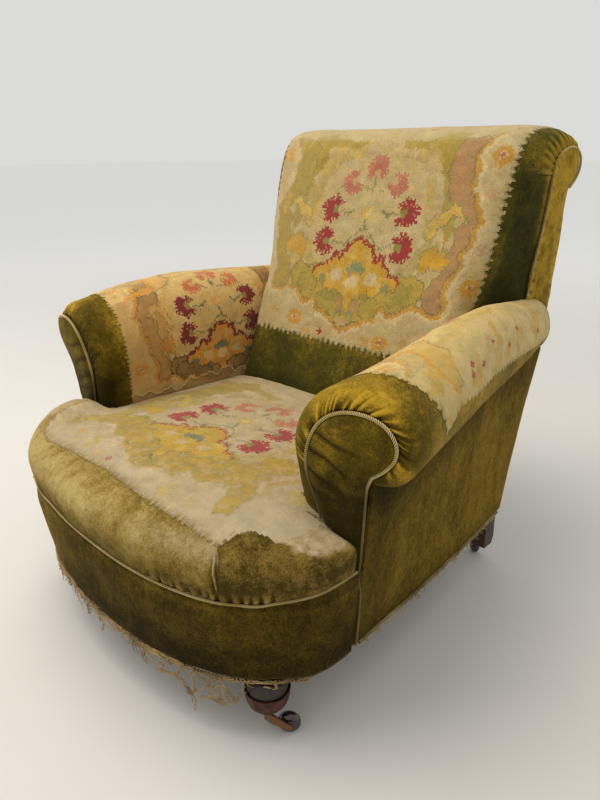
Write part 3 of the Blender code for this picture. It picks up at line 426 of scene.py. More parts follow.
class Chart:
    """Knots laid out by (u, v), in metres from the middle of the palmette, each with a dye's colour."""

    def __init__(self, u, v, dyes, seed):
        self.u, self.v, self.dyes, self.seed = u, v, dyes, seed
        self.i, self.j = np.floor(u / KNOT), np.floor(v / KNOT)
        # outlines wander, and jump by a knot or two from one warp thread to the next
        across = 0.0034 * (hashed(np.floor(self.i / 3), self.j, seed + 3) - 0.5)
        up = 0.0062 * (hashed(self.i, np.floor(self.j / 4), seed + 4) - 0.5)
        self.ru = u + 0.0036 * soft_noise(u, v, 0.012, seed) + across
        self.rv = v + 0.0036 * soft_noise(u, v, 0.012, seed + 7) + up
        self.colour = np.zeros(u.shape + (3,)) + linear(dyes["ground"])

    def chance(self, n):
        """A random number from 0 to 1 for each knot."""
        return hashed(self.i, self.j, self.seed + n)

    def noise(self, cell, n, wide=1.0, high=1.0):
        """Smooth noise from -1 to 1 over the panel, drawn out along a side where that figure is under 1."""
        return soft_noise(self.u * wide, self.v * high, cell, self.seed + n)

    def fill(self, mask, dye, share=1.0):
        """Dyes the knots of a mask, or blends the dye in by a share."""
        amount = np.clip(mask * share, 0, 1)[..., None]
        self.colour = self.colour * (1 - amount) + np.array(linear(self.dyes[dye])) * amount

    def oval(self, cu, cv, ru, rv):
        """Knots inside a ragged oval."""
        return ((self.ru - cu) / ru) ** 2 + ((self.rv - cv) / rv) ** 2 < 1

    def cross(self, cu, cv, reach, half):
        """Knots of an upright cross."""
        du, dv = np.abs(self.u - cu), np.abs(self.v - cv)
        return (du + dv < reach) & (np.minimum(du, dv) < half)

    def area(self, corners):
        """Knots inside a ragged polygon."""
        inside = np.zeros(self.u.shape, bool)
        for (u0, v0), (u1, v1) in zip(corners, corners[1:] + corners[:1]):
            crosses = (v0 > self.rv) != (v1 > self.rv)
            at = u0 + (self.rv - v0) / ((v1 - v0) or 1e-9) * (u1 - u0)
            inside ^= crosses & (self.ru < at)
        return inside

    def line(self, points, wide):
        """Knots along a run of straight pieces."""
        near = np.full(self.u.shape, 1e9)
        for (u0, v0), (u1, v1) in zip(points, points[1:]):
            along_u, along_v = u1 - u0, v1 - v0
            t = ((self.ru - u0) * along_u + (self.rv - v0) * along_v) / (along_u ** 2 + along_v ** 2)
            t = np.clip(t, 0, 1)
            near = np.minimum(near, np.hypot(self.ru - u0 - t * along_u, self.rv - v0 - t * along_v))
        return near < wide / 2

    def both(self, rule, *args):
        """The motif and its mirror image."""
        first = rule(*args)
        self.ru = -self.ru
        second = rule(*args)
        self.ru = -self.ru
        return first | second

    def rim(self, mask, knots=1):
        """The outermost knots just outside a shape."""
        grown = mask.copy()
        for _ in range(knots):
            wider = grown.copy()
            wider[1:] |= grown[:-1]
            wider[:-1] |= grown[1:]
            wider[:, 1:] |= grown[:, :-1]
            wider[:, :-1] |= grown[:, 1:]
            grown = wider
        return grown & ~mask

    def flower(self, cu, cv, size, opens, petals, heart):
        """A carnation: jagged petals round a heart, open on the side of its stem."""
        du, dv = self.u - cu, self.v - cv
        turn = np.arctan2(dv, du)
        place = turn / (2 * math.pi) * PETALS + 0.3
        spike = np.floor(place)
        tip = 0.86 + 0.28 * hashed(spike, round(cu * 1e4), self.seed + 11)
        notch = np.where(np.mod(place, 1.0) < 0.3, 0.8, 1.0)
        away = np.hypot(du, dv) / size
        from_stem = np.abs((turn - opens + math.pi) % (2 * math.pi) - math.pi)
        body = (away < tip * notch) & ((from_stem > 0.45) | (away < 0.35))
        self.fill(body, petals)
        inner_u, inner_v = cu + 0.26 * size * math.cos(opens), cv + 0.26 * size * math.sin(opens)
        eye = np.hypot(self.ru - inner_u, self.rv - inner_v) < 0.29 * size
        self.fill(eye, heart)
        self.fill(body & ~eye & (away > 0.45) & (self.chance(5) > 0.9), "ground", 0.55)


print(f"a knot is {KNOT * 1000:.1f} mm, so {round(1 / KNOT / 10) * 10} lie in a metre of panel")
# %% [markdown]
# The pattern itself is a common one for pile woven for seats: seven carnations stand in a horseshoe over a
# golden palmette, with curling stems between them. Stepped clouds lie below, wavy bands run up the sides,
# and an outer ground carries rosettes and small crosses. The panel ends in teeth of the plush's own green.
# All figures are millimetres from the middle of the palmette. Most motifs are mirrored, and the raggedness
# is not, as in hand-set work.

# %% The pattern's motifs
def mm(*pairs):
    return [(u / 1000, v / 1000) for u, v in pairs]


UNDER_LINE = mm((0, -130), (14, -124), (26, -112), (42, -108), (54, -98), (78, -96), (84, -76), (96, -70),
                (108, -82), (126, -80), (138, -68), (152, -56), (176, -54), (196, -66), (216, -64))
SIDE_LINE = mm((220, -58), (222, -40), (214, -18), (222, 4), (236, 30), (232, 52), (246, 74), (244, 96),
               (258, 114), (242, 134), (232, 160), (220, 176), (224, 204), (216, 226), (226, 250),
               (250, 274))
BAND_INNER = mm((184, -60), (172, -28), (188, 0), (206, 16), (198, 44), (214, 70), (206, 96), (230, 110),
                (212, 130), (180, 150), (172, 190), (168, 240), (186, 262))
RED_LINE = mm((0, 66), (7, 56), (18, 58), (22, 49), (34, 50), (31, 37), (42, 33), (38, 22), (48, 17),
              (56, 31), (66, 27), (66, 12), (80, 8), (88, 0), (102, -2), (110, -10), (110, -20))
GOLD_BODY = mm((0, 66), (18, 58), (34, 48), (40, 24), (56, 26), (66, 10), (90, -2), (110, -12), (106, -26),
               (92, -34), (80, -30), (70, -46), (52, -50), (40, -44), (24, -56), (12, -58), (8, -98),
               (0, -104))
MEDALLION = mm((0, 232), (60, 226), (104, 204), (128, 170), (138, 120), (136, 60), (120, 14), (96, 6),
               (0, 20))
CLOUD = mm((0, -104), (24, -110), (52, -98), (78, -94), (84, -74), (98, -68), (110, -80), (126, -76),
           (140, -60), (160, -54), (172, -30), (166, -8), (150, 2), (128, -8), (112, -2), (60, 10), (0, 20))


def woven(c, left_band="brown_pink", lines=1.0, left_line=1.0):
    """Lays the whole pattern on chart c. lines is how much of its outlines is left after wear."""
    u, v = c.u, c.v
    # slow change of tone along the rows, where a new batch of wool was begun
    c.fill(0.5 + 0.5 * c.noise(0.045, 20, 0.3), "ground_warm", 0.45)
    c.fill(c.noise(0.03, 21) > 0.42, "ground_pale", 0.5)

    # clouds of mustard round the medallion, and the brown band at each side
    outside = ~c.both(c.area, MEDALLION) & (np.abs(u) < 0.205) & (v > -0.02) & (v < 0.262)
    mottle = c.noise(0.034, 24) + 0.6 * c.noise(0.016, 25, 1.6, 0.7)
    c.fill(outside & (mottle > -0.1), "mustard", 0.45)
    c.fill(outside & (mottle > 0.45), "gold_pale", 0.55)
    for corners in (mm((128, 252), (170, 256), (168, 190), (150, 196), (142, 232)),
                    mm((40, 262), (60, 242), (112, 246), (176, 240), (186, 262), (120, 268), (84, 262)),
                    mm((120, 268), (150, 292), (196, 274), (170, 256)),
                    mm((190, 60), (206, 96), (200, 170), (180, 236), (150, 250), (136, 226), (160, 190),
                       (172, 130))):
        c.fill(c.both(c.area, corners), "mustard", 0.85)
    band = c.both(c.area, SIDE_LINE + BAND_INNER[::-1])
    c.fill(band & (u > 0), "brown_pink")
    c.fill(band & (u < 0), left_band)
    c.fill(band & (u < 0) & (mottle > 0.3), "gold_pale", 0.4)
    c.fill(c.rim(band), "outline", 0.75 * lines)

    # leaves that reach into the band
    for corners, dye in ((mm((150, 76), (164, 82), (170, 100), (186, 108), (196, 128), (206, 122),
                             (222, 112), (212, 134), (196, 142), (180, 128), (160, 120),
                             (152, 100)), "gold_pale"),
                         (mm((154, 10), (172, 22), (190, 20), (206, 26), (210, 40), (196, 46), (198, 60),
                             (180, 50), (176, 66), (164, 54), (152, 50), (148, 26)), "gold")):
        leaf = c.both(c.area, corners)
        c.fill(c.rim(leaf) & (c.chance(30) > 0.3), "leaf_green", 0.8)
        c.fill(leaf, dye)
    c.fill(c.both(c.line, mm((128, 150), (134, 120), (142, 96), (152, 84)), 0.007), "gold_pale", 0.7)

    # cloud and palmette
    cloud = c.both(c.area, CLOUD)
    c.fill(c.rim(cloud), "outline", 0.9 * lines)
    c.fill(cloud, "cloud")
    c.fill(cloud & (c.noise(0.016, 22) > 0.25), "cloud_dark", 0.8)
    for cu, cv, ru, rv in ((0.118, -0.04, 0.026, 0.022), (0.058, -0.074, 0.024, 0.02)):
        lobe = c.both(c.oval, cu, cv, ru, rv)
        c.fill(c.rim(lobe) & (c.chance(33) > 0.35), "outline", 0.8 * lines)
        c.fill(lobe, "cloud_dark", 0.5)
    c.fill(c.both(c.area, mm((17, -62), (28, -58), (28, -94), (18, -98))), "brown_pink")
    gold = c.both(c.area, GOLD_BODY)
    c.fill(c.rim(gold), "outline", 0.8)
    c.fill(gold, "gold")
    c.fill(gold & (c.noise(0.018, 23) > 0.3), "gold_pale", 0.7)
    small = 1.0 if lines > 0.6 else 0.62
    for cu, cv, ru, rv, dye in ((0.046, -0.016, 0.015, 0.014, "ground_pale"),
                                (0.0, -0.026, 0.018, 0.014, "cream"),
                                (0.082, -0.028, 0.01, 0.009, "fan_green"),
                                (0.02, 0.03, 0.014, 0.01, "gold_pale")):
        c.fill(c.both(c.oval, cu, cv, small * ru, small * rv), dye, 0.9 * small)
    fan = c.both(c.area, mm((0, 24), (6, 12), (12, 18), (16, 4), (26, 6), (22, -6), (14, -16), (8, -4),
                            (0, -8)))
    c.fill(fan, "fan_green")
    left_red = 1.0 if lines > 0.6 else (c.chance(35) > 0.3) * 0.85
    c.fill(c.both(c.line, RED_LINE, 0.0058), "deep_red", left_red)
    c.fill(c.both(c.line, mm((0, -90), (8, -94), (14, -90), (24, -100)), 0.006), "fan_green")
    c.fill(c.both(c.area, mm((0, -104), (20, -104), (10, -118), (0, -124))), "ground_warm")

    # wavy lines outside the clouds and the band
    kept = np.where((u < 0) & (v > -0.055), left_line, 1.0) * np.where(v < -0.02, 1.0, 0.9)
    c.fill(c.both(c.line, [(a, b - 0.0085) for a, b in UNDER_LINE]
                          + [(a + 0.011, b) for a, b in SIDE_LINE], 0.0085), "cream", 0.85 * lines * kept)
    c.fill(c.both(c.line, UNDER_LINE + SIDE_LINE, 0.01), "orange", (0.4 + 0.6 * lines) * kept)
    c.fill(c.both(c.line, [(a - 0.001, b + 0.005) for a, b in UNDER_LINE]
                          + [(a - 0.005, b) for a, b in SIDE_LINE], 0.0034), "outline", 0.85 * lines * kept)

    # stems
    for run in (mm((0, 84), (14, 78), (26, 66), (36, 54), (48, 46), (60, 50), (78, 52)),
                mm((40, 116), (52, 113), (60, 118), (72, 116)),
                mm((14, 158), (28, 164), (36, 172), (48, 168)), mm((0, 84), (2, 104)),
                mm((2, 164), (0, 190)), mm((34, 122), (42, 114), (52, 108))):
        c.fill(c.both(c.line, run, 0.0042), "leaf_green", 0.9)
    c.fill(c.oval(0.0, 0.116, 0.016, 0.014), "gold_pale")
    c.fill(c.oval(0.0, 0.116, 0.007, 0.006), "cream")

    # the seven carnations
    for side in (-1, 1):
        inward = 0.0 if side < 0 else math.pi
        c.flower(side * 0.098, 0.051, 0.029, inward, "deep_red", "heart_green")
        c.flower(side * 0.094, 0.119, 0.029, inward, "deep_red", "heart_green")
        c.flower(side * 0.057, 0.174, 0.0255, inward - side * 0.5, "salmon", "ground_warm")
    c.flower(0.0, 0.206, 0.0265, -math.pi / 2, "salmon", "ground_warm")

    # rosettes, little crosses and sprigs of the outer ground
    for cu, cv, size in ((0.264, 0.23, 0.018), (0.26, -0.008, 0.018), (-0.132, -0.122, 0.018),
                         (0.104, -0.135, 0.015), (-0.264, 0.228, 0.016), (-0.262, -0.01, 0.017)):
        if lines < 0.6:
            c.fill(c.oval(cu, cv, size, 0.95 * size) & (c.chance(34) > 0.25), "gold_pale", 0.7)
            continue
        c.fill(c.oval(cu, cv, size, 0.95 * size), "orange")
        c.fill(c.rim(c.oval(cu, cv, size, size)) & (c.chance(31) > 0.5), "orange", 0.6)
        c.fill(c.oval(cu, cv, 0.42 * size, 0.36 * size), "cream", 0.8)
        c.fill(c.oval(cu, cv, 0.24 * size, 0.24 * size), "deep_red", 0.65)
    for cu, cv, dye in ((-0.052, -0.139, "deep_red"), (0.266, 0.3, "salmon"), (-0.266, 0.3, "salmon"),
                        (0.01, 0.3, "salmon"), (0.09, 0.302, "salmon")):
        c.fill(c.cross(cu, cv, 0.009, 0.0026), dye)
    for cu, cv, size, dye in ((-0.09, -0.138, 0.01, "orange"), (0.07, -0.137, 0.009, "orange"),
                              (0.262, 0.164, 0.012, "salmon_pale"),
                              (0.262, 0.064, 0.012, "salmon_pale"), (-0.262, 0.16, 0.012, "salmon_pale"),
                              (0.158, -0.128, 0.01, "orange"), (-0.196, -0.11, 0.012, "orange")):
        petals = c.oval(cu, cv, size, size) & (c.chance(32) > 0.35)
        c.fill(petals, dye, 0.8)
    # no two dips in the vat come out alike, and each knot of the same dye differs a little
    streaks = c.noise(0.009, 41, 0.5) + 0.7 * c.noise(0.022, 42, 1.0, 2.0)
    tone = 1 + 0.18 * (c.chance(40) - 0.5) + 0.08 * streaks
    warm = 0.05 * c.noise(0.014, 43) + 0.05 * (c.chance(44) - 0.5)
    c.colour *= together(tone * (1 + 0.5 * warm), tone, tone * (1 - 1.5 * warm))
    return c


print("the pattern has", len(RED_LINE) * 2, "steps in its red line and 7 carnations")
# %% [markdown]
# The dyes have not lived through the same light. The back has kept its reds, the seat has been sat pale,
# and the inside of the arms, always in shade, is still dark and orange. So each panel gets its own card of
# colours.

# %% Dye cards
BACK_DYES = {"ground": "#AC9866", "ground_warm": "#AE9058", "ground_pale": "#B2A076", "mustard": "#957E2C",
             "brown_pink": "#9E784A", "outline": "#766C3A", "leaf_green": "#7E784A", "gold": "#B28824",
             "gold_pale": "#B89642", "cloud": "#A28834", "cloud_dark": "#928036", "fan_green": "#7C7E4E",
             "cream": "#BEA878", "orange": "#B0822E", "deep_red": "#8C2A22", "salmon": "#A8664C",
             "salmon_pale": "#B0845C", "heart_green": "#827636", "edge": "#6C6434"}
SEAT_DYES = dict(BACK_DYES, ground="#AA9870", ground_warm="#AC926C", ground_pale="#B2A17E",
                 mustard="#9A8238", brown_pink="#AA9068", outline="#7A6E38", gold="#AC8A2A",
                 gold_pale="#AE9440", cloud="#9A8440", cloud_dark="#8E7A3A", edge="#867242",
                 cream="#B4A27C", orange="#AE8C3C", deep_red="#92342C", salmon="#A86A48",
                 salmon_pale="#AE8E68", leaf_green="#807C4C", fan_green="#6A7050")
ARM_DYES = dict(BACK_DYES, ground="#CAAA66", ground_warm="#C89E5C", ground_pale="#CEB070",
                mustard="#BC8C34", brown_pink="#A2793F", outline="#42381A", leaf_green="#76704A",
                gold="#CC8C2C", gold_pale="#D09E50", cloud="#9A7636", cloud_dark="#826634",
                fan_green="#6C7052", cream="#D2B676", orange="#CC8C30", deep_red="#7A2222",
                salmon="#BE6A3C", salmon_pale="#C89458", heart_green="#927C3C", edge="#8A8040")
RIGHT_ARM_DYES = dict(ARM_DYES, ground="#C4AA66", ground_warm="#C2A460", orange="#C4902E", gold="#BE9430",
                      gold_pale="#C29E44", salmon_pale="#C2A05A", salmon="#B87848", mustard="#B8963C",
                      outline="#8C7E44", deep_red="#A0342A", brown_pink="#B89C5A")
print(len(BACK_DYES), "dyes on each card")
# %% [markdown]
# The seat is stuffed over its springs and bulges forward in a bow. On the real chair it was built up in
# hair and tow, stitched to a roll at the front, and covered in one panel of knotted pile with plush let in
# round its edge. The front left has slumped and stands out beyond its arm. The height of its top is one
# rule of place, so the plush and the panel on it share the same hollows.

# %% The seat's shape
SEAT_CROWN, SEAT_FALL, SEAT_BELT = 0.374, 0.0367, 0.308
SEAT_FLAT_Y, BOW_Y, LIP_Z, HEM = -0.242, -0.245, 0.2612, 0.118
BOW_BELT, BOW_LIP = (0.356, 0.214, 2.6), (0.35, 0.206, 2.6)
ARM_FOOT_Y = -0.253  # the plush stops here, against the arms' fronts
BOW_BELLY, BOW_HEM, BELLY_Z = (0.3555, 0.209, 2.5), (0.344, 0.199, 2.3), 0.215
LEFT_SLUMP, LEFT_PUFF = 0.05, 0.02
SEAT_ROWS = ((0.0868, 0.257, 0.0, 2.2), (0.02, 0.257, 0.01, 2.2), (-0.06, 0.257, 0.02, 2.2),
             (-0.14, 0.257, 0.04, 2.2), (-0.19, 0.257, 0.06, 2.2), (-0.2335, 0.257, 0.08, 2.2),
             (-0.248, 0.265, 0.105, 2.3), (-0.258, 0.285, 0.13, 2.4), (-0.264, 0.31, 0.152, 2.5),
             (-0.261, 0.328, 0.171, 2.55), (-0.257, 0.342, 0.186, 2.6), (-0.255, 0.352, 0.197, 2.6))


def slumped(angle, half):
    """How many times wider the slumped front left is, at an angle round a bow of this half width."""
    outer = np.clip((half - 0.28) / 0.06, 0, 1)
    return 1 + LEFT_SLUMP * outer * np.sin(math.pi * np.clip((-angle - 20) / 70, 0, 1))


def bow(shape, angle, y_start=BOW_Y):
    """The bow front in plan. angle runs from -90 (left) through 0 (front) to 90 degrees."""
    half, reach, square = shape
    s, c = np.sin(np.radians(angle)), np.maximum(np.cos(np.radians(angle)), 0)
    wide = slumped(angle, half)
    return half * np.sign(s) * np.abs(s) ** (2 / square) * wide, y_start - reach * wide * c ** (2 / square)


SIDE_X = ((HEM, 0.3502), (0.16, 0.3554), (0.215, 0.3618), (0.244, 0.365), (0.262, 0.3674),
          (0.285, 0.3708), (0.308, 0.3736), (0.345, 0.3755))


def lip_height(angle):
    """The seat's cord sags at the front and is drawn up at its ends, more on the right."""
    left = 0.0055 * fall(angle, 10, 35) + 0.014 * rise(-angle, 42, 38)
    return LIP_Z + 0.02 * rise(angle, 50, 40) ** 1.3 + left


def spread(x, z, angle, half=0.35):
    """Draws the ends of a bow out sideways, as far as the cord on the arm's front."""
    share = rise(np.abs(angle), 60, 30) * rise(half, 0.31, 0.04)
    return lerp(x, np.sign(x) * np.maximum(table(SIDE_X, z), np.abs(x)), share)


def seat_dent(x, y):
    """Hollows where springs have sunk, sitters' dips, and small lumps of old hair."""
    dip = -0.004 * np.exp(-((x - 0.02) / 0.13) ** 2 - ((y + 0.02) / 0.1) ** 2)
    lumps = 0.0016 * soft_noise(x, y, 0.055, 3) + 0.0005 * soft_noise(x, y, 0.017, 4)
    dart = -0.006 * np.exp(-((x - 0.2535 - 0.35 * (y + 0.4)) / 0.006) ** 2) * rise(-y, 0.375, 0.03)
    return dip + lumps + dart


def seat_height(x, y):
    half, reach, square = BOW_BELT
    forward = np.maximum(BOW_Y - y, 0) / reach
    angle = np.degrees(np.arctan2((np.abs(x) / half) ** (square / 2), forward ** (square / 2)))
    wide = np.where(forward > 0, slumped(np.copysign(angle, x), half), 1.0)
    q = np.minimum(((np.abs(x) / half) ** square + forward ** square) ** (1 / square) / wide, 1.0)
    puff = rise(-x, 0.22, 0.08) * smooth((BOW_Y - y) / 0.04) * smooth((y + 0.47) / 0.14)
    z = SEAT_BELT + (SEAT_CROWN - SEAT_BELT + LEFT_PUFF * puff) * (1 - q ** (3 + 4 * puff)) ** 0.5
    return z - SEAT_FALL * np.maximum(y - SEAT_FLAT_Y, 0) + seat_dent(x, y) * (1 - q ** 6)


print("seat at its crown:", round(float(seat_height(0.0, SEAT_FLAT_Y)), 4), "m high")
# %% [markdown]
# The seat's plush runs over the front roll and down to the cord. Near the cord at the front right the cloth
# was too long for the tighter curve, so the upholsterer took it up in little pleats, and at the corner in
# one long dart. Pleats and dart are pressed into the rows of points here.

# %% The seat's plush
turn = np.concatenate([np.arange(-90, 0, 2.0), np.arange(0, 39, 1.0), np.arange(39, 45, 0.25),
                       np.arange(45, 75, 0.6), np.arange(75, 90.1, 1.0)])
rows = []
for y_side, half, reach, square in along(SEAT_ROWS, shares(74)):
    x, y = bow((half, reach, square), turn, y_side)
    z = seat_height(x, y)
    rows.append(together(spread(x, z, turn, half), y, z))
over_x, over_y = bow(SEAT_ROWS[-1][1:], turn, SEAT_ROWS[-1][0])
belt_x, belt_y = bow(BOW_BELT, turn)
for step in np.linspace(0.2, 1.0, 5):
    share = 1 - (1 - step) ** 2
    x, y = lerp(over_x, belt_x, share), np.minimum(lerp(over_y, belt_y, share), ARM_FOOT_Y)
    z = seat_height(x, y)
    rows.append(together(spread(x, z, turn), y, z))
UNDER = ((*BOW_BELT, SEAT_BELT), (0.3539, 0.2112, 2.6, 0.285), (*BOW_LIP, LIP_Z + 0.001))
for half, reach, square, level in along(UNDER, shares(21)[1:]):
    x, y = bow((half, reach, square), turn)
    z = level + (lip_height(turn) - LIP_Z) * (SEAT_BELT - level) / (SEAT_BELT - LIP_Z)
    rows.append(together(spread(x, z, turn), np.minimum(y, ARM_FOOT_Y), z))
seat_points = np.stack(rows)
seat_out = facing(seat_points, flip=True)
seat_down = tape(seat_points, 0)
from_cord = seat_down[-1] - seat_down
around = seat_down * 0 + turn
pleat_region = rise(around, 8, 22) * fall(around, 74, 16)
pleat = np.abs(np.sin(np.radians(around) * 46 + 2.2 * soft_noise(around, 0, 7.0, 5))) ** 0.6
pleat_depth = 0.005 * pleat_region * (1 - pleat) * smooth(1 - from_cord / 0.03)
seat_points = seat_points - seat_out * pleat_depth[..., None]
seam = smooth(1.6 - 1.6 * np.abs(from_cord - 0.046) / 0.042)
dart = np.exp(-((around - 41.9) / 1.3) ** 2) * seam
ridge = np.exp(-((around - 41.7 - 0.25 * np.sin(90 * from_cord)) / 0.3) ** 2) * seam
seat_points = seat_points - seat_out * (0.0045 * dart - 0.0036 * ridge)[..., None]

corner_edge = table(((40, 0.068), (42, 0.08), (44, 0.094), (52, 0.116), (58, 0.124), (66, 0.123),
                     (72, 0.109), (76, 0.095), (82, 0.081), (90, 0.062)), around)
ragged = 0.012 * soft_noise(around * 0.006, from_cord, 0.01, 13) * rise(around, 60, 12)
blend = lerp(0.004, 0.034, rise(around, 58, 16))
in_corner = rise(around, 42.3, 1.2) * smooth((corner_edge + ragged - from_cord) / blend)
# painted light on the seat's plush: worn gold with painted sheen along the front of the roll, and painted
# highlight on the ridge beside the dart and on the pleats' crests
gold = 0.5 * smooth((-around + 30) / 50) * hill(from_cord, 0.075, 0.06)
gold += 1.3 * ridge
brushed = soft_noise(around * 0.006, from_cord * 0.35, 0.012, 16)
brushed = brushed + 0.6 * soft_noise(around * 0.006, from_cord, 0.03, 18)
# painted shade on the roll's underside down to the cord, in the pleats' valleys and in the fold of the dart
dark = lerp(0.6, 0.46, rise(around, 40, 6)) * smooth(1 - from_cord / 0.055)
dark += 0.85 * pleat_region * (1 - pleat) * smooth(1 - from_cord / 0.026)
gold += 0.5 * pleat_region * pleat ** 2 * smooth(1 - from_cord / 0.022)
dark += (0.75 * dart * (1 - ridge) + 0.42 * in_corner * smooth(from_cord / 0.03)
         + 0.16 * brushed * smooth((around + 75) / 20))
pale = 0.75 * rise(-around, 48, 20) * rise(from_cord, 0.06, 0.03)
pale += 0.55 * rise(around, 4, 34) * hill(from_cord, 0.082, 0.03) * (1 - in_corner) * (around < 42.5)
pale += 1.7 * rise(around, 42, 2) * (1 - in_corner) * rise(from_cord, 0.05, 0.02)
seat = lattice("seat", seat_points, olive_seat, (gold, dark, pale), flip=True)
thicken(seat)
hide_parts("seat_cover", "seat_stuffing")
print("seat:", seat_points.shape[0], "rows of", seat_points.shape[1], "points")
# %% [markdown]
# The band between the seat's cord and the hem is plain plush over a thin padding, tacked under the front
# rail. It has stretched, so it bellies a little, and its lower edge is rubbed. A cover that is fixed all
# round its edge only moves by a millimetre or two, so soft noise on its rows is enough.

# %% The front border
LEVELS = ((*BOW_LIP, LIP_Z - 0.003), (0.3535, 0.2078, 2.54, 0.244), (*BOW_BELLY, BELLY_Z),
          (0.3492, 0.2035, 2.39, 0.165), (*BOW_HEM, HEM))
turn = np.concatenate([[-90.0], np.arange(-90, 90.1, 2.0), [90.0]])
rows = []
for half, reach, square, level in along(LEVELS, shares(28)):
    x, y = bow((half, reach, square), turn)
    y[0] = y[-1] = -0.2295
    z = level + (lip_height(turn) - LIP_Z) * (level - HEM) / (LIP_Z - HEM)
    rows.append(together(spread(x, z, turn), y, z))
border_points = np.stack(rows)
border_run = tape(border_points, 1)
height = border_points[..., 2]
slack = hill(height, 0.19, 0.07)
shape = (0.0012 * soft_noise(border_run, height, 0.07, 8)
         + 0.0009 * soft_noise(border_run, height * 3, 0.045, 9)) * slack
# the front left has slumped, so the border bellies out there too
shape += 0.0085 * rise(-turn, 38, 26) * smooth((90 + turn) / 14) * hill(height, 0.2, 0.075)
border_points = border_points + facing(border_points, flip=True) * shape[..., None]
border_points[-1, 1:-1, 2] += 0.0012 * soft_noise(border_run[-1, 1:-1], height[-1, 1:-1], 0.03, 10)
mottle = soft_noise(border_run * 0.8, height, 0.03, 21)
mottle = mottle + 0.7 * soft_noise(border_run, height * 0.7, 0.012, 22)
gold = 0.5 * fall(border_run, 0.44, 0.34) * rise(height, 0.12, 0.05) * (1 + 0.45 * mottle)
gold += 0.2 * rise(height, 0.235, 0.02)
gold += 0.4 * fall(height, 0.1225, 0.004)
# painted shade just under the seat's cord, where the roll overhangs; below that it darkens towards the bottom
# and the right end
dark = 0.36 * fall(height, 0.2, 0.07) * rise(border_run, 0.2, 0.2) + 0.3 * rise(height, 0.248, 0.008)
dark += 0.28 * rise(border_run, 0.25, 0.25) + 0.14 * soft_noise(border_run, height, 0.028, 17)
pale = 0.35 * np.clip(soft_noise(border_run, height, 0.05, 12) - 0.45, 0, 1) * fall(border_run, 0.5, 0.3)
front_border = lattice("front_border_cover", border_points, olive_outside,
                       (gold, dark, pale), flip=True)
thicken(front_border, 2 * CLOTH)
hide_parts("front_border")
print("border:", round(float(border_run[-1, -1]), 3), "m round the hem")
# %% [markdown]
# The back leans and rolls over at its top. Its cover starts behind the seat, runs up the front and over the
# roll, and is drawn round to a cord on each side. One curve seen from the side, and one across, describe
# it. Round the scroll the cloth is drawn into fan pleats, because its outer edge is longer than the cord it
# is sewn to.

# %% The back's shape
BACK_AT, BACK_LEAN, BACK_FOOT = (0.182, 0.612), 0.36, 0.28
BACK_ROUND = ((0.54, 0.03), (0.62, 0.062))
BACK_ROLL = ((0.2497, 0.8), (0.265, 0.84), (0.29, 0.867), (0.33, 0.879), (0.375, 0.8812),
             (0.425, 0.8775), (0.46, 0.863), (0.477, 0.836), (0.473, 0.803), (0.454, 0.776),
             (0.428, 0.76))
BACK_LOOP = ((0.347, 0.795), (0.348, 0.81), (0.356, 0.824), (0.372, 0.835), (0.392, 0.8415),
             (0.416, 0.843), (0.438, 0.837), (0.453, 0.825), (0.457, 0.806), (0.448, 0.788),
             (0.428, 0.772))
BACK_CORD = ((0.325, 0.578), (0.333, 0.62), (0.343, 0.674), (0.349, 0.73), (0.347, 0.795))
BACK_HALF = ((0.27, 0.2575), (0.562, 0.2575), (0.6, 0.271), (0.64, 0.285), (0.68, 0.295),
             (0.74, 0.305), (0.8, 0.314), (0.89, 0.318))
SIDE_HALF = ((0.562, 0.3035), (0.64, 0.3045), (0.68, 0.3065), (0.74, 0.311), (0.8, 0.316),
             (0.89, 0.319))
CLEAR_OF_ARMS = 0.563  # height where the back's sides come free of the arms
REAR_LINE = ((0.0335, 0.323), (0.118, 0.323), (0.22, 0.346), (0.331, 0.371), (0.453, 0.412),
             (0.557, 0.431), (0.66, 0.437), (0.748, 0.424), (0.77, 0.414))


def rear_face(z):
    return table(REAR_LINE, z)


def back_outer(k):
    """Points (y, z) of the back's cover: k 0 to 0.5 runs up the front, 0.5 to 1 over the roll."""
    z = lerp(BACK_FOOT, BACK_ROLL[0][1], k / 0.5)
    flat = together(BACK_AT[0] + (z - BACK_AT[1]) * BACK_LEAN, z)
    return np.where((k <= 0.5)[..., None], flat, along(BACK_ROLL, (k - 0.5) / 0.5))


def back_loop(k):
    """The line on the back's side to which the cover is drawn, at the same places."""
    z = lerp(BACK_FOOT, BACK_ROLL[0][1], k / 0.5)
    low = lerp(0.2, BACK_CORD[0][0], (z - BACK_FOOT) / (BACK_CORD[0][1] - BACK_FOOT))
    y = np.where(z < BACK_CORD[0][1], low, table([(cz, cy) for cy, cz in BACK_CORD], z))
    return np.where((k <= 0.5)[..., None], together(y, z), along(BACK_LOOP, (k - 0.5) / 0.5))


k = np.concatenate([np.linspace(0, 0.5, 70)[:-1], np.linspace(0.5, 1, 101)])
outer, loop = back_outer(k), back_loop(k)
reach = np.hypot(*(loop - outer).T)
rounding = table(BACK_ROUND, outer[:, 1])
corner = np.minimum(rounding, 0.85 * reach)
half = soft_table(BACK_HALF, outer[:, 1], 0.015)
edge_half = np.where(outer[:, 1] < CLEAR_OF_ARMS, half, table(SIDE_HALF, outer[:, 1]))
sweep = np.radians(np.linspace(0, 90, 25))
columns = [(u * (half - rounding), outer) for u in shares(30)[:-1]]
for s in sweep:
    share = (corner * (1 - math.cos(s)) / reach)[:, None]
    columns.append((half - rounding * (1 - math.sin(s)), lerp(outer, loop, share)))
for t in shares(13)[1:]:
    share = lerp(corner / reach, 1.0, t)[:, None]
    columns.append((lerp(half, edge_half, t), lerp(outer, loop, share)))
right = np.stack([np.column_stack([x, yz]) for x, yz in columns], axis=1)
left = right[:, :0:-1] * (-1, 1, 1)
back_points = np.concatenate([left, right], axis=1)
print("back:", back_points.shape[0], "rows of", back_points.shape[1], "points")
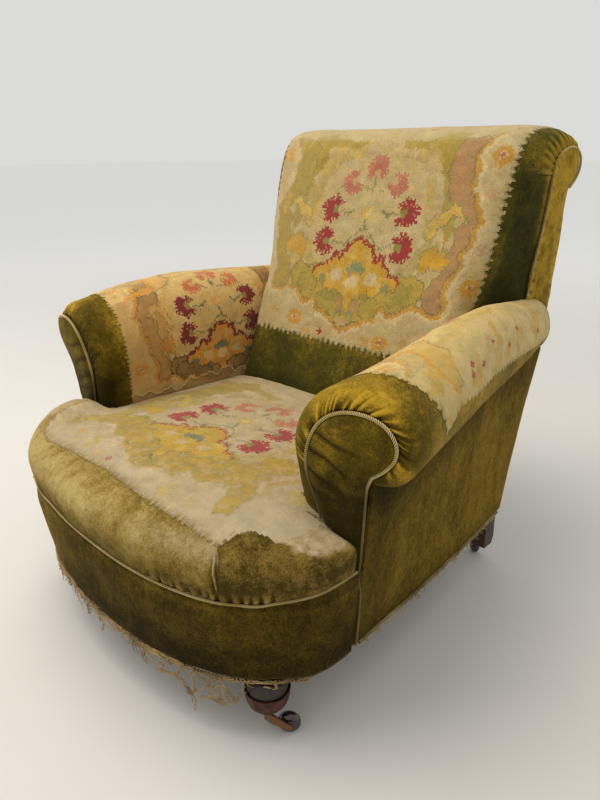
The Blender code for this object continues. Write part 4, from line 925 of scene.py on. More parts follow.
# %% [markdown]
# Pleats are folds that start at the cord and fade away from it. They are never even, so their spacing
# wanders. The padding between the panel and the cord is soft and bulges; the front has a sitter's hollow.

# %% The back's plush
back_out = facing(back_points)
across = tape(back_points, 1)
across -= across[:, [across.shape[1] // 2]]
middle_row = back_points.shape[1] // 2
up = tape(back_points[:, [middle_row]], 0)
up = up - np.interp(BACK_AT[1], back_points[:75, middle_row, 2], up[:75, 0])
to_cord = np.minimum(across - across[:, [0]], across[:, [-1]] - across)
round_roll = tape(np.concatenate([np.zeros((len(k), 1, 1)), loop[:, None, :]], axis=-1), 0)
on_scroll = rise(k[:, None], 0.47, 0.07) * fall(k[:, None], 0.985, 0.02)
wander = 0.004 * soft_noise(round_roll, np.sign(across) * 0.1, 0.02, 21)
fold = 0.5 + 0.5 * np.cos(2 * math.pi * (round_roll + wander) / 0.0128)
fan = on_scroll * smooth(1 - to_cord / 0.055) * smooth(to_cord / 0.004 + 0.3)
dips = (-0.0035 * np.exp(-(across / 0.16) ** 2 - ((up - 0.02) / 0.12) ** 2)
        + 0.0018 * soft_noise(across, up, 0.08, 22) + 0.0006 * soft_noise(across, up, 0.022, 23))
sag = 0.0016 * soft_noise(up * 0.6, to_cord, 0.028, 24) * smooth(1 - to_cord / 0.06)
back_points = back_points + back_out * (dips + sag + 0.0034 * fan * (fold - 0.6))[..., None]
# painted light: painted shade on the band as the back turns to its side, in the pleats' valleys and in the
# seam at the cord; worn gold with painted highlight on the pleats' crests, along the padding by the cord and
# round the scroll
band = smooth(1 - (to_cord - 0.078) / 0.03)
gold = 1.1 * fan * fold ** 2 + 0.75 * smooth(1 - to_cord / 0.03) * rise(up, 0.02, 0.1)
gold += 0.25 * on_scroll * smooth(1 - to_cord / 0.07)
dark = 0.42 * band * (1 - on_scroll) + 0.55 * fan * (1 - fold) + 0.55 * np.exp(-(to_cord / 0.003) ** 2)
low = smooth((-0.15 - up) / 0.01)
# painted shade low on the back, where it meets the seat
dark += 0.2 * smooth((-0.235 - up) / 0.03) + 0.16 * smooth((-0.15 - up) / 0.03)
gold += low * (0.07 + 0.07 * soft_noise(across, up * 0.4, 0.02, 25)) * smooth((up + 0.26) / 0.06)
pale = 0.35 * rise(k[:, None], 0.56, 0.05) * rise(to_cord, 0.06, 0.03)
pale *= fall(k[:, None], 0.8, 0.1)
back = lattice("back", back_points, olive_shade, (gold, dark, pale))
thicken(back)
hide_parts("back_cover", "back_stuffing")
print("back is", round(float(up[-1, 0] - up[0, 0]), 3), "m long over its middle")
# %% [markdown]
# The back's side has its own narrow panel of plush inside the cord, and the whole rear is one plain cover,
# tacked under the roll and along the posts. It has hung there untouched, so it keeps the most colour and
# only sags.

# %% Side panels of the back and the outside back
front_edge = ((0.33, 0.466), (0.327, 0.52), (0.327, 0.56), (0.332, 0.601), (0.339, 0.64),
              (0.346, 0.68), (0.351, 0.74))
rear_edge = ((0.412, 0.466), (0.4225, 0.52), (0.4305, 0.56), (0.4315, 0.601), (0.435, 0.64),
             (0.4345, 0.68), (0.4255, 0.74))
scroll_middle = (0.404, 0.806)


def drawn_in(p):
    """A point of the scroll's cord, moved a little towards the scroll's middle."""
    return tuple(lerp(a, b, 0.03) for a, b in zip(p, scroll_middle))


front_run = along(list(front_edge) + [drawn_in(p) for p in BACK_LOOP[:6]], shares(70))
rear_run = along(list(rear_edge) + [drawn_in(p) for p in BACK_LOOP[:4:-1]], shares(70))
SIDES = (("right", 1), ("left", -1))
for side, sign in SIDES:
    t = shares(15)[None, :, None]
    yz = lerp(front_run[:, None], rear_run[:, None], t)
    bulge = 0.0026 * np.clip(1 - (2 * t[..., 0] - 1) ** 2, 0, 1) * smooth(shares(70) * 12)[:, None]
    bulge = bulge * smooth((1 - shares(70)) * 12)[:, None]
    bulge += 0.001 * soft_noise(yz[..., 0] * 2, yz[..., 1], 0.026, 31 + sign)
    x = table(SIDE_HALF, yz[..., 1]) - 0.001 + bulge
    panel_points = np.concatenate([(sign * x)[..., None], yz], axis=-1)
    edge = np.abs(2 * t[..., 0] - 1)
    fan = np.abs(np.sin(150 * (yz[..., 0] * (yz[..., 1] > 0.79) + yz[..., 1])))
    blot = 0.2 * soft_noise(yz[..., 0], yz[..., 1], 0.02, 32)
    # the fan pleats near the edges: worn gold with painted highlight on their crests, painted shade in their
    # valleys; painted shade low down, by the arm's roll
    gold = 0.38 + blot + 0.1 * rise(yz[..., 1], 0.7, 0.08) + 0.55 * rise(edge, 0.6, 0.3) * fan
    dark = 0.2 * fall(yz[..., 1], 0.62, 0.1) + 0.5 * rise(edge, 0.6, 0.3) * (1 - fan)
    piece = lattice(f"back_side_{side}", panel_points, olive, (gold, dark, 0), flip=sign > 0)
    thicken(piece, 2 * CLOTH)
    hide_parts(f"back_facing_{side}")

levels = np.linspace(HEM, 0.77, 58)  # its last 25 mm tuck up under the roll
u = np.linspace(-1, 1, 49)[None, :]
z = levels[:, None] + 0 * u
x = (np.where(z < CLEAR_OF_ARMS, 0.3035, table(SIDE_HALF, z)) - 0.001) * u
hang = 0.0045 * np.sin(math.pi * (z - HEM) / (0.745 - HEM)) * (1 - u ** 2)
hang += (0.001 * soft_noise(x, z * 0.4, 0.05, 33) + 0.0012 * np.sin(x * 46 + 3 * z)
         * hill(z, 0.42, 0.3)) * (1 - u ** 8)
y = rear_face(z) + 0.001 + hang
gold = 0.1 + 0.5 * rise(np.abs(u), 0.965, 0.03) + 0.5 * fall(z, 0.123, 0.004)
# painted shade at the top, where the cover tucks up under the roll
dark = 0.22 + 0.25 * rise(z, 0.7, 0.04)
outside_back = lattice("outside_back_cover", together(x, y, z), olive_outside,
                       (gold, dark, 0))
thicken(outside_back)
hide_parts("outside_back")
print("outside back:", round(float(z.max() - z.min()), 3), "m high")
# %% [markdown]
# Each arm is a roll over a flat inner wall. Its section changes from the big front scroll to a small one at
# the back, and the roll's crest has risen in the middle with the stuffing. The cover is drawn over the
# front edge and gathered into the scroll's cord in many small pleats, whose crests are worn to gold and
# carry painted highlight, while their valleys carry painted shade.

# %% The arms' shape
ARM_FRONT_Y, ARM_EDGE_X, ARM_SPLAY, ARM_TIP, ARM_ROUND = -0.2236, 0.345, 0.15, 0.1, 0.03
ARM_FRONT = ((0.264, 0.27), (0.2615, 0.34), (0.256, 0.41), (0.254, 0.46), (0.268, 0.503),
             (0.297, 0.536), (0.3356, 0.555), (0.375, 0.5565), (0.4107, 0.543), (0.4351, 0.515),
             (0.443, 0.48), (0.4351, 0.447), (0.4144, 0.425), (0.39, 0.418))
ARM_REAR = ((0.266, 0.27), (0.266, 0.34), (0.266, 0.42), (0.2665, 0.49), (0.27, 0.525),
            (0.28, 0.549), (0.294, 0.564), (0.31, 0.567), (0.327, 0.56), (0.34, 0.542),
            (0.346, 0.515), (0.34, 0.489), (0.325, 0.472), (0.308, 0.466))
ARM_LOOP = ((0.31, 0.275), (0.308, 0.35), (0.293, 0.405), (0.2895, 0.435), (0.295, 0.465),
            (0.3113, 0.497), (0.3356, 0.519), (0.363, 0.529), (0.392, 0.5295), (0.416, 0.52),
            (0.4295, 0.5), (0.4275, 0.478), (0.413, 0.458), (0.393, 0.441))
SWELL = {1: ((0.0, 0.0), (0.15, 0.003), (0.32, 0.014), (0.5, 0.027), (0.64, 0.028), (0.82, 0.015),
             (1.0, 0.0)),
         -1: ((0.0, 0.0), (0.1, 0.014), (0.22, 0.025), (0.4, 0.029), (0.62, 0.021), (0.82, 0.01),
              (1.0, 0.0))}
ARM_END = ((0.27, 0.302), (0.33, 0.318), (0.45, 0.352), (0.6, 0.364))
ARM_HEART = (0.308, 0.518)


def arm_plane(x, z):
    """y of the arm's front plane."""
    return ARM_FRONT_Y + (np.abs(x) - ARM_EDGE_X) * ARM_SPLAY - (z - HEM) * ARM_TIP


def arm_section(k, t, sign):
    """Points (x, z) of the arm's cover: k runs round the section and t from the front to the rear."""
    x, z = np.moveaxis(lerp(along(ARM_FRONT, k), along(ARM_REAR, k), t[..., None]), -1, 0)
    over_top = np.clip((k - 0.2) / 0.66, 0, 1)
    return x, z + soft_table(SWELL[sign], t, 0.04) * np.sin(math.pi * over_top)


def arm_surface(sign):
    """Rows of the cover from the cord round the front edge, along the roll, and in behind it at the back."""
    k = np.concatenate([np.linspace(0, 0.2, 14)[:-1], np.linspace(0.2, 0.93, 210),
                        np.linspace(0.93, 1, 7)[1:]])
    rows, zero = [], np.zeros_like(k)
    for sweep in np.radians(np.linspace(86, 6, 12)):
        x, z = arm_section(k, zero, sign)
        loop_x, loop_z = along(ARM_LOOP, k).T
        pull = 1 - math.cos(sweep)
        x, z = lerp(x, loop_x, pull), lerp(z, loop_z, pull)
        rows.append(together(x, arm_plane(x, z) + 0.0008 + ARM_ROUND * (1 - math.sin(sweep)), z))
    for t in np.concatenate([np.linspace(0, 0.12, 9)[:-1], np.linspace(0.12, 1, 58)]):
        x, z = arm_section(k, zero + t, sign)
        rows.append(together(x, lerp(arm_plane(x, z) + ARM_ROUND, table(ARM_END, z), t), z))
    x_end, z_end = arm_section(k, zero + 1, sign)
    part = np.clip((k - 0.27) / 0.73, 0, 1)
    near = np.maximum(1 - 6 * part, 0)
    for pull in (0.3, 0.55, 0.8):
        wall = x_end + pull * (0.025 * k / 0.27 + 0.006)
        x = lerp(lerp(x_end, ARM_HEART[0], pull), x_end + pull * 0.031, near)
        z = np.where(k < 0.27, z_end, lerp(lerp(z_end, ARM_HEART[1], pull), z_end, near))
        rows.append(together(np.where(k < 0.27, wall, x), table(ARM_END, z) + 0.0036, z))
    points = np.stack(rows)
    tucked = points[:, -1:] + shares(4)[None, 1:, None] * (-0.024, 0.0, 0.006)
    points = np.concatenate([points, tucked], axis=1)
    points[..., 0] *= sign
    return np.concatenate([k, [1.0, 1.0, 1.0]]), points


print("arm crest at its middle:", round(float(arm_section(np.array(0.53), np.array(0.5), 1)[1]), 3),
      "m high")
# %% [markdown]
# The pleats follow the cord: their spacing is about a centimetre at the crest, and each one wanders and
# ends at its own length. The crest of a pleat catches hands and light, so it is worn gold with painted
# highlight, and the valley gets painted shade. The top of the roll carries a few broad dips where elbows
# rested.

# %% The arms' plush
arm_grids = {}
for side, sign in SIDES:
    k, points = arm_surface(sign)
    flip = sign < 0
    back_from_cord = tape(points, 0)
    round_section = tape(points[[14]], 1) + 0 * back_from_cord
    seed = 40 + 7 * sign
    lean = back_from_cord * 0.25 * soft_noise(round_section, 0, 0.05, seed + 5)
    ridges = soft_noise(round_section + lean, back_from_cord * 0.1, 0.0044, seed)
    broken = soft_noise(round_section, back_from_cord * 0.2, 0.011, seed + 6)
    fold = np.clip(0.5 + 0.5 * ridges + 0.22 * broken, 0, 1)
    drawn = rise(k, 0.16, 0.08) * fall(k, 0.97, 0.05)
    length = 0.036 + 0.02 * soft_noise(round_section, 0, 0.009, seed + 1)
    fade = drawn * smooth(1 - back_from_cord / length)
    dips = 0.0014 * soft_noise(round_section, back_from_cord, 0.06, seed + 2)
    dips += 0.0006 * soft_noise(round_section, back_from_cord, 0.018, seed + 3)
    dips *= smooth((back_from_cord[-4] - back_from_cord) / 0.05)
    points = points + facing(points, flip) * (dips + 0.0034 * fade * (fold - 0.55))[..., None]
    arm_grids[sign] = points
    top = hill(k, 0.52, 0.3)
    front = smooth(1 - (back_from_cord - 0.03) / 0.035)
    mottled = 0.75 + 0.5 * soft_noise(round_section, back_from_cord, 0.014, seed + 8)
    # gold: worn gold with painted highlight on the pleats' crests and over the top of the roll
    gold = 1.05 * fade * fold ** 3 + 0.34 * top * front * smooth(back_from_cord / 0.02) * mottled
    gold += 0.12 * top + 0.4 * hill(k, 0.86, 0.06) * front
    # dark: painted shade in the pleats' valleys, in the seam at the cord, low on the inner side and under the
    # scroll
    dark = 0.62 * fade * (1 - fold) + 0.5 * np.exp(-(back_from_cord / 0.003) ** 2)
    dark += 0.45 * fall(k, 0.26, 0.1) * front + 0.3 * rise(k, 0.9, 0.08)
    pale = 0.15 * rise(k, 0.56, 0.1) * fall(k, 0.9, 0.05) * rise(back_from_cord, 0.075, 0.02)
    # the left arm: fewer pale patches, less painted highlight on its inner side, and more painted shade at
    # its front
    if sign < 0:
        pale *= 0.2
        gold *= lerp(0.3, 1.0, rise(k, 0.42, 0.12))
        dark += 0.24 * smooth(1 - (back_from_cord - 0.06) / 0.03) * fall(k, 0.52, 0.1)
    gold += 0.1 * rise(k, 0.62, 0.1) * fall(k, 0.9, 0.05) * rise(back_from_cord, 0.075, 0.02)
    arm = lattice(f"arm_{side}", points, olive, (gold, dark, pale), flip=flip)
    thicken(arm)
    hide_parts(f"arm_cover_{side}", f"arm_stuffing_{side}")
print("arm cover:", points.shape[0], "rows of", points.shape[1], "points")
# %% [markdown]
# Inside the cord, the front of the arm has its own pad. The cloth is fixed at both edges and has stretched,
# so it hangs in six shallow creases that droop from the inner side to the outer. Below the roll
# the pad narrows and goes down behind the seat.

# %% The arm fronts
HEART = (0.36, 0.445)
edge_x, edge_z = along(ARM_LOOP, shares(150)).T
inward = table(((0.275, 0.015), (0.33, 0.011), (0.36, 0.003)), edge_z)
inward = inward / np.hypot(edge_x - HEART[0], edge_z - HEART[1])
outline = list(zip(lerp(edge_x, HEART[0], inward), lerp(edge_z, HEART[1], inward)))
outline += [(0.383, 0.426), (0.381, 0.41), (0.379, 0.39), (0.3765, 0.37), (0.374, 0.35),
            (0.3705, 0.32), (0.367, 0.29), (0.3644, 0.264), (0.35, 0.264), (0.332, 0.264)]
outline = np.array(outline)
PAD_SHARES = np.concatenate([[0.0], shares(60)])
# height, how far it droops, width and depth of each crease, m
CREASES = ((0.49, 0.022, 0.005, 0.0016), (0.463, 0.04, 0.0055, 0.0022), (0.428, 0.042, 0.006, 0.002),
           (0.398, 0.02, 0.005, 0.002), (0.372, 0.012, 0.0045, 0.0012), (0.345, 0.016, 0.005, 0.0012))
for side, sign in SIDES:
    rows = []
    for share in PAD_SHARES:
        px = lerp(outline[:, 0], lerp(HEART[0] - 0.014, HEART[0], rise(outline[:, 1], 0.3, 0.12)), share)
        pz = lerp(outline[:, 1], np.clip(outline[:, 1], 0.29, 0.47), share)
        rim = math.sqrt(max(1 - (1 - min(share / 0.45, 1)) ** 2, 0))
        rows.append(together(px, -0.002 - 0.0085 * rim, pz))
    points = np.stack(rows)
    points[0, :, 1] += 0.006
    x, z = points[..., 0], points[..., 2]
    crease = 0
    sharp = 0
    for middle, droop, width, deep in CREASES:
        line = middle - droop * rise(x, 0.285, 0.12) + 0.0015 * np.sin(x * 120 + middle * 40)
        reach = smooth((0.415 - x + 0.2 * (middle - 0.44)) / 0.105) ** 1.5
        crease = crease + deep * np.exp(-((z - line) / width) ** 2) * reach
        sharp = sharp + np.exp(-((z - line) / 0.0018) ** 2) * reach * 0.7
    inner = smooth(PAD_SHARES / 0.12)[:, None]
    points[..., 1] += crease * inner + 0.0008 * soft_noise(x, z, 0.022, 60 + sign) * inner
    points[..., 1] += arm_plane(x, z)
    shaded = np.clip(0.45 * crease / 0.0022 + 0.9 * sharp, 0, 1.2)
    raised = np.clip((0.0009 - crease) / 0.0009, 0, 1) * hill(z, 0.475, 0.05)
    # painted highlight on the smooth top of the pad, lighter at its rim; painted shade in the creases and
    # towards the bottom, where it goes down behind the seat
    gold = 0.22 * raised + 0.15 * (1 - inner) + 0.12 * soft_noise(x, z, 0.016, 61)
    dark = 0.3 + 0.66 * shaded + 0.44 * fall(z, 0.44, 0.1)
    points[..., 0] *= sign
    pad = lattice(f"arm_front_{side}", points, olive, (gold, dark, 0), ring=True,
                  flip=sign > 0)
    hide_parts(f"arm_facing_{side}")
print("creases on each arm front:", len(CREASES))
# %% [markdown]
# The outside of the arm is one flat piece, tacked up under the roll and down the back post, and slip-
# stitched to the front cord. Nothing pads it, so between the rails it is a little hollow, and its worn pile
# shows the cloth's upright threads as streaks.

# %% The outside of the arms
def hem_x(t):
    """Half the chair's width at the hem, at shares t of the way from the arm's front to the rear."""
    return lerp(0.345, 0.303, t) + 0.006 * np.sin(math.pi * t)


for side, sign in SIDES:
    u = shares(48)[:, None]
    t = np.concatenate([[0.0], shares(230)])[None, :]
    turn_in = np.where(np.arange(231) == 0, 0.012, 0.0)[None, :]
    top_x, top_z = arm_section(np.ones_like(t), t, sign)
    top_z = np.minimum(top_z - 0.006, 0.462) + 0.024 * smooth(1 - t / 0.1)
    x = lerp(hem_x(t), top_x + 0.001, u) - 0.006 * np.sin(math.pi * u) * np.sin(math.pi * t)
    z = lerp(HEM, top_z, u)
    y = lerp(arm_plane(x, z) + 0.0066, rear_face(z) + 0.0015, t)
    slack = 0.0009 * soft_noise(y, z * 0.5, 0.045, 70 + sign) + 0.0005 * soft_noise(y * 2, z * 0.6, 0.02, 72)
    x = x + slack * np.sin(math.pi * np.clip(u * 1.1, 0, 1)) - turn_in
    edge_run = y - y[:, [0]]
    thread = 0.6 * soft_noise(y, z * 0.1, 0.0035, 74) + 1.2 * soft_noise(y, z * 0.22, 0.014, 75)
    gold = 0.12 * np.exp(-(edge_run / 0.02) ** 2) + 0.35 * np.exp(-((y[:, [-1]] - y) / 0.006) ** 2)
    gold += 0.4 * fall(z, 0.124, 0.005) + 0.12 + 0.06 * thread + 0.15 * rise(edge_run, 0.25, 0.2)
    # painted shadow under the roll, and painted shade near the front, under the front scroll; darker towards
    # the bottom
    painted_shadow_under_roll = 0.6 * smooth((z - (top_z - 0.095)) / 0.085) * lerp(1.0, 0.55, smooth(edge_run / 0.35))
    dark = painted_shadow_under_roll + 0.3 * smooth(1 - edge_run / 0.13) + 0.2 * fall(z, 0.17, 0.05)
    dark = dark + 0.08 * soft_noise(y, z, 0.09, 73)
    cover = lattice(f"outside_arm_cover_{side}", together(sign * x, y, z), olive_outside,
                    (gold, dark, 0), flip=sign < 0)
    thicken(cover)
    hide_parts(f"outside_arm_{side}")
print("outside arm:", round(float(y.max() - y.min()), 3), "m from front to back")
# %% [markdown]
# A panel is made as the weaver made it: a lattice with one face to a knot, laid on the finished plush about
# a millimetre up. The surface under it is measured with a tape along its rows, so that knots keep their
# size over the curves. At the panel's edge the plush's green climbs into it in teeth, so faces there are
# simply left out.

# %% Laying a panel
PILE_UP = 0.0008  # how far the pile stands above the plush, m


def resample(points, lengths, wanted):
    """Each row's points at the wanted lengths along it."""
    return np.stack([np.stack([np.interp(wanted, length, row[:, c]) for c in range(3)], axis=-1)
                     for row, length in zip(points, lengths)])


def teeth(run, pitch, seed):
    """0 to 1 along an edge: stepped teeth at this pitch, a little uneven."""
    place_on = run / pitch + 0.12 * soft_noise(run, 0, 0.03, seed)
    return 1 - np.abs(2 * (place_on - np.floor(place_on)) - 1)


def lay_panel(name, points, u, v, keep, dyes, seed, left_band="brown_pink", lines=1.0, left_line=1.0,
              flip=False, fade=None, extra=()):
    """One panel: a face for each knot, in its chart's dye. fade lays a faded, dusty colour on it, with
    painted highlight on the arms' crests; extra adds more figures.
    """
    chart = woven(Chart(u, v, dyes, seed), left_band, lines, left_line)
    amount, dust_and_highlight = fade
    chart.colour = chart.colour * (1 - amount[..., None]) + np.array(linear(dust_and_highlight)) * amount[..., None]
    for rule, dye, share in extra:
        chart.fill(rule(chart), dye, share)
    out = facing(points, flip)
    tuft = 0.00025 * (hashed(np.arange(points.shape[0])[:, None], np.arange(points.shape[1])[None], seed)
                      - 0.5)
    raised = points + out * (PILE_UP + tuft)[..., None]
    rows, count = points.shape[:2]
    index = np.arange(rows * count).reshape(rows, count)
    quads = between_rows(index)
    row, column = np.indices((rows - 1, count - 1))[..., None]
    corner_u, corner_v = column + (0, 1, 1, 0), row + (0, 0, 1, 1)
    quads, corner_u, corner_v, colour = quads[keep], corner_u[keep], corner_v[keep], chart.colour[keep]
    if flip:
        quads, corner_u, corner_v = quads[:, ::-1], corner_u[:, ::-1], corner_v[:, ::-1]
    used, faces = np.unique(quads, return_inverse=True)
    obj = mesh_piece(name, raised.reshape(-1, 3)[used].tolist(), faces.reshape(-1, 4).tolist(), knotted)
    layer = obj.data.attributes.new("dye", "FLOAT_COLOR", "CORNER")
    flat = np.ones((len(quads), 4, 4), np.float32)
    flat[..., :3] = np.clip(colour, 0, 1)[:, None, :]
    layer.data.foreach_set("color", flat.ravel())
    knots = obj.data.uv_layers.new(name="knots")
    knots.data.foreach_set("uv", together(corner_u, corner_v).astype(np.float32).ravel())
    print(name, "has", len(quads), "knots")


def rubbed_edge(keep, reach=3, seed=19):
    """The knots along a panel's edge, where its pile is worn down and mixed with the plush."""
    def rule(c):
        tufts = hashed(c.i, np.floor(c.j / 2), seed)
        return 0.8 * c.rim(~keep) * (tufts > 0.15) + 0.7 * (c.rim(~keep, reach) & (tufts > 0.55))
    return rule


print("panels stand", PILE_UP * 1000, "mm above the plush")
# %% [markdown]
# The back's panel is laid first. It starts just above the seat and runs up over the roll. Its sides stop
# short of the corners and leave a dark band of plush.

# %% The back's panel
v_lines = np.arange(-0.168, 0.46, KNOT)
u_lines = np.arange(-0.33, 0.3301, KNOT)
centre_up = tape(back_points[:, [middle_row]], 0)[:, 0]
centre_up -= np.interp(BACK_AT[1], back_points[:75, middle_row, 2], centre_up[:75])
v_lines = v_lines[v_lines < centre_up[-1] - 0.004]
by_row = resample(np.swapaxes(back_points, 0, 1), np.tile(centre_up, (back_points.shape[1], 1)), v_lines)
by_row = np.swapaxes(by_row, 0, 1)
row_tape = tape(by_row, 1)
row_tape -= row_tape[:, [middle_row]]
grid = resample(by_row, row_tape, u_lines)
u, v = np.meshgrid((u_lines[:-1] + u_lines[1:]) / 2, (v_lines[:-1] + v_lines[1:]) / 2)
edge = table(((-0.16, 0.284), (-0.02, 0.29), (0.15, 0.294), (0.25, 0.297), (0.4, 0.297)), v)
edge_left = table(((-0.16, 0.275), (-0.02, 0.28), (0.15, 0.284), (0.25, 0.288), (0.4, 0.29)), v)
keep = np.where(u > 0, u < edge - 0.009 * teeth(v, 0.0145, 5), -u < edge_left - 0.009 * teeth(v, 0.0145, 6))
keep &= v > -0.164 + 0.01 * teeth(u, 0.014, 7) + 0.004 * hashed(np.floor(u / KNOT / 2), 0, 18)
sides = rise(-u, 0.14, 0.06) * fall(v, 0.26, 0.03)
fade = (0.4 * rise(v, 0.255, 0.02) + 0.15 * sides, "#AE9C6C")
lay_panel("back_panel", grid, u, v, keep, BACK_DYES, 1, left_band="mustard", left_line=0.3, fade=fade,
          extra=[(rubbed_edge(keep, 2), "edge", 0.55)])

# %% The seat's panel
x_lines = np.arange(-0.33, 0.3301, KNOT)
y_fine = np.linspace(0.0868, -0.455, 500)
x_all, y_all = np.meshgrid(x_lines, y_fine, indexing="ij")
profile = together(x_all, y_all, seat_height(x_all, y_all))
down = tape(profile, 1)
down -= np.stack([np.interp(-SEAT_FLAT_Y, -y_fine, row) for row in down])[:, None]
v_lines = np.arange(0.327, -0.18, -KNOT)
grid = np.swapaxes(resample(profile, down, -v_lines), 0, 1)
u, v = np.meshgrid((x_lines[:-1] + x_lines[1:]) / 2, (v_lines[:-1] + v_lines[1:]) / 2)
front_edge = -0.161 - 0.008 * hill(u, 0.11, 0.16) + 0.003 * teeth(u, 0.01, 8)
keep = (v > front_edge) & np.where(v > 0.002, np.abs(u) < 0.256, True)
keep &= u < table(((-0.17, 0.243), (-0.151, 0.251), (-0.124, 0.257), (-0.107, 0.266), (-0.098, 0.292),
                   (-0.09, 0.335)), v)
keep &= -u < table(((-0.165, 0.262), (-0.12, 0.276), (-0.07, 0.283), (-0.02, 0.276), (0.0, 0.27)), v)
worn = 0.85 * rise(u, 0.1, 0.1) * fall(v, 0.0, 0.06)
worn = np.maximum(worn, 0.5 * smooth((-0.105 - v) / 0.03))
worn = np.maximum(worn, 0.15 * rise(-u, 0.2, 0.06))
worn = np.clip(worn * (0.75 + 0.5 * soft_noise(u, v, 0.035, 15)), 0, 0.9)
SEAT_CLOUD = mm((-245, -110), (-230, -75), (-160, -55), (-115, -80), (-75, -82), (-40, -110), (0, -122),
                (45, -100), (75, -110), (95, -76), (125, -93), (158, -69), (182, -80), (200, -123),
                (220, -115), (215, -50), (195, -35), (200, 40), (175, 65), (145, 5), (110, -12), (80, -32),
                (50, -52), (12, -60), (8, -100), (-8, -100), (-12, -60), (-50, -52), (-80, -32), (-112, -12),
                (-150, -6), (-190, -20), (-240, -60))


def in_cloud(size, seed, more):
    """Patches of the seat's cloud, where soft noise of this size is over a level."""
    return lambda c: c.area(SEAT_CLOUD) & (soft_noise(c.u, c.v, size, seed) > more)


yellow, light = in_cloud(0.014, 61, 0.05), in_cloud(0.009, 62, 0.42)
seat_extra = [
    (lambda c: c.area(SEAT_CLOUD), "mustard", 0.75), (yellow, "gold", 0.55), (light, "ground_pale", 0.3),
    (lambda c: c.rim(c.area(SEAT_CLOUD)) | (c.area(SEAT_CLOUD) & c.rim(yellow(c))), "outline", 0.3),
    (lambda c: smooth((front_edge + 0.02 - c.v) / 0.018) * hashed(c.i, np.floor(c.j / 3), 20) ** 0.7,
     "edge", 0.9), (lambda c: (c.u > 0.232) & (c.v < -0.05), "ground_pale", 0.5),
    (lambda c: rubbed_edge(keep, 2)(c) * (c.u < 0.25), "edge", 0.75)]
lay_panel("seat_panel", grid, u, v, keep, SEAT_DYES, 2, left_band="mustard", lines=0.45, left_line=0.3,
          flip=True, fade=(worn, "#B0A080"), extra=seat_extra)

# %% The arms' panels
# The pattern is stretched over the roll and squeezed at its ends. These tables turn places on the arm into
# places on the chart.
ARM_U = ((-0.4, -0.46), (-0.217, -0.262), (-0.193, -0.234), (-0.15, -0.19), (-0.13, -0.146),
         (-0.09, -0.098), (0.0, 0.0), (0.09, 0.098), (0.13, 0.146), (0.15, 0.19), (0.193, 0.234),
         (0.217, 0.262), (0.4, 0.46))
ARM_V = ((-0.16, -0.25), (-0.085, -0.136), (0.0, -0.006), (0.05, 0.052), (0.108, 0.119), (0.151, 0.174),
         (0.173, 0.206), (0.205, 0.255), (0.4, 0.46))
ARM_EDGE = {
    1: ((-0.26, 0.336), (-0.17, 0.326), (-0.129, 0.303), (-0.01, 0.314), (0.126, 0.305), (0.269, 0.267),
        (0.33, 0.25)),
    -1: ((-0.26, 0.33), (0.126, 0.305), (0.269, 0.267), (0.33, 0.25))}
ARM_START = {
    1: ((0.085, -0.248), (0.112, -0.249), (0.163, -0.241), (0.224, -0.224), (0.258, -0.207), (0.302, -0.183),
        (0.34, -0.17)),
    -1: ((-0.03, -0.244), (0.03, -0.25), (0.085, -0.248), (0.166, -0.244), (0.34, -0.235))}


def low_band(c):
    """The brown band along the foot of the left arm's panel."""
    return c.v < -0.104 + 0.018 * soft_noise(c.u, 0, 0.02, 48)


def on_arm(*pairs):
    """Places on the arm in millimetres, as chart places."""
    return [(float(table(ARM_U, u / 1000)), float(table(ARM_V, v / 1000))) for u, v in pairs]


def patches(c):
    return soft_noise(c.u, c.v, 0.026, 44) + 0.5 * soft_noise(c.u, c.v, 0.011, 45)


corner_line = on_arm((-205, 150), (-160, 160), (-146, 168), (-141, 197), (-149, 221), (-149, 244),
                     (-133, 272), (-122, 282))
corner_cloud = on_arm((-200, 158), (-146, 172), (-142, 200), (-150, 230), (-132, 276), (-112, 268),
                      (-112, 240), (-96, 222), (-104, 196), (-92, 176), (-120, 160), (-160, 150))
CORNER = [(lambda c: c.area(corner_cloud), "gold_pale", 0.6),
          (lambda c: c.rim(c.area(corner_cloud)), "leaf_green", 0.65),
          (lambda c: c.line(corner_line, 0.012), "orange", 1.0),
          (lambda c: (c.v > 0.25) & (patches(c) > 0.38), "gold", 0.7)]
# where the middle of the palmette lies along the arm, and the height from which rows are counted
ARM_MIDDLE_Y, ARM_FOOT_Z = 0.04, 0.425
for place in ((126, 251), (235, 244), (82, 275), (-64, 261), (-30, 275), (-71, 274), (20, 258)):
    cu, cv = on_arm(place)[0]
    CORNER.append((lambda c, cu=cu, cv=cv: c.cross(cu, cv, 0.0078, 0.0024), "deep_red", 0.85))
LEFT_ONLY = [
    (lambda c: rise(c.v, 0.235, 0.03) * (0.6 + 0.4 * hashed(c.i, c.j, 46)), "ground_pale", 0.8),
    (lambda c: (c.v > 0.22) & (soft_noise(c.u, c.v, 0.02, 47) > 0.2), "leaf_green", 0.35),
    (lambda c: (c.u < -0.175) & (c.v < 0.17), "brown_pink", 0.45), (low_band, "brown_pink", 0.6),
    (lambda c: c.rim(low_band(c), 2), "cream", 0.8), (lambda c: c.rim(low_band(c)), "outline", 0.7)]
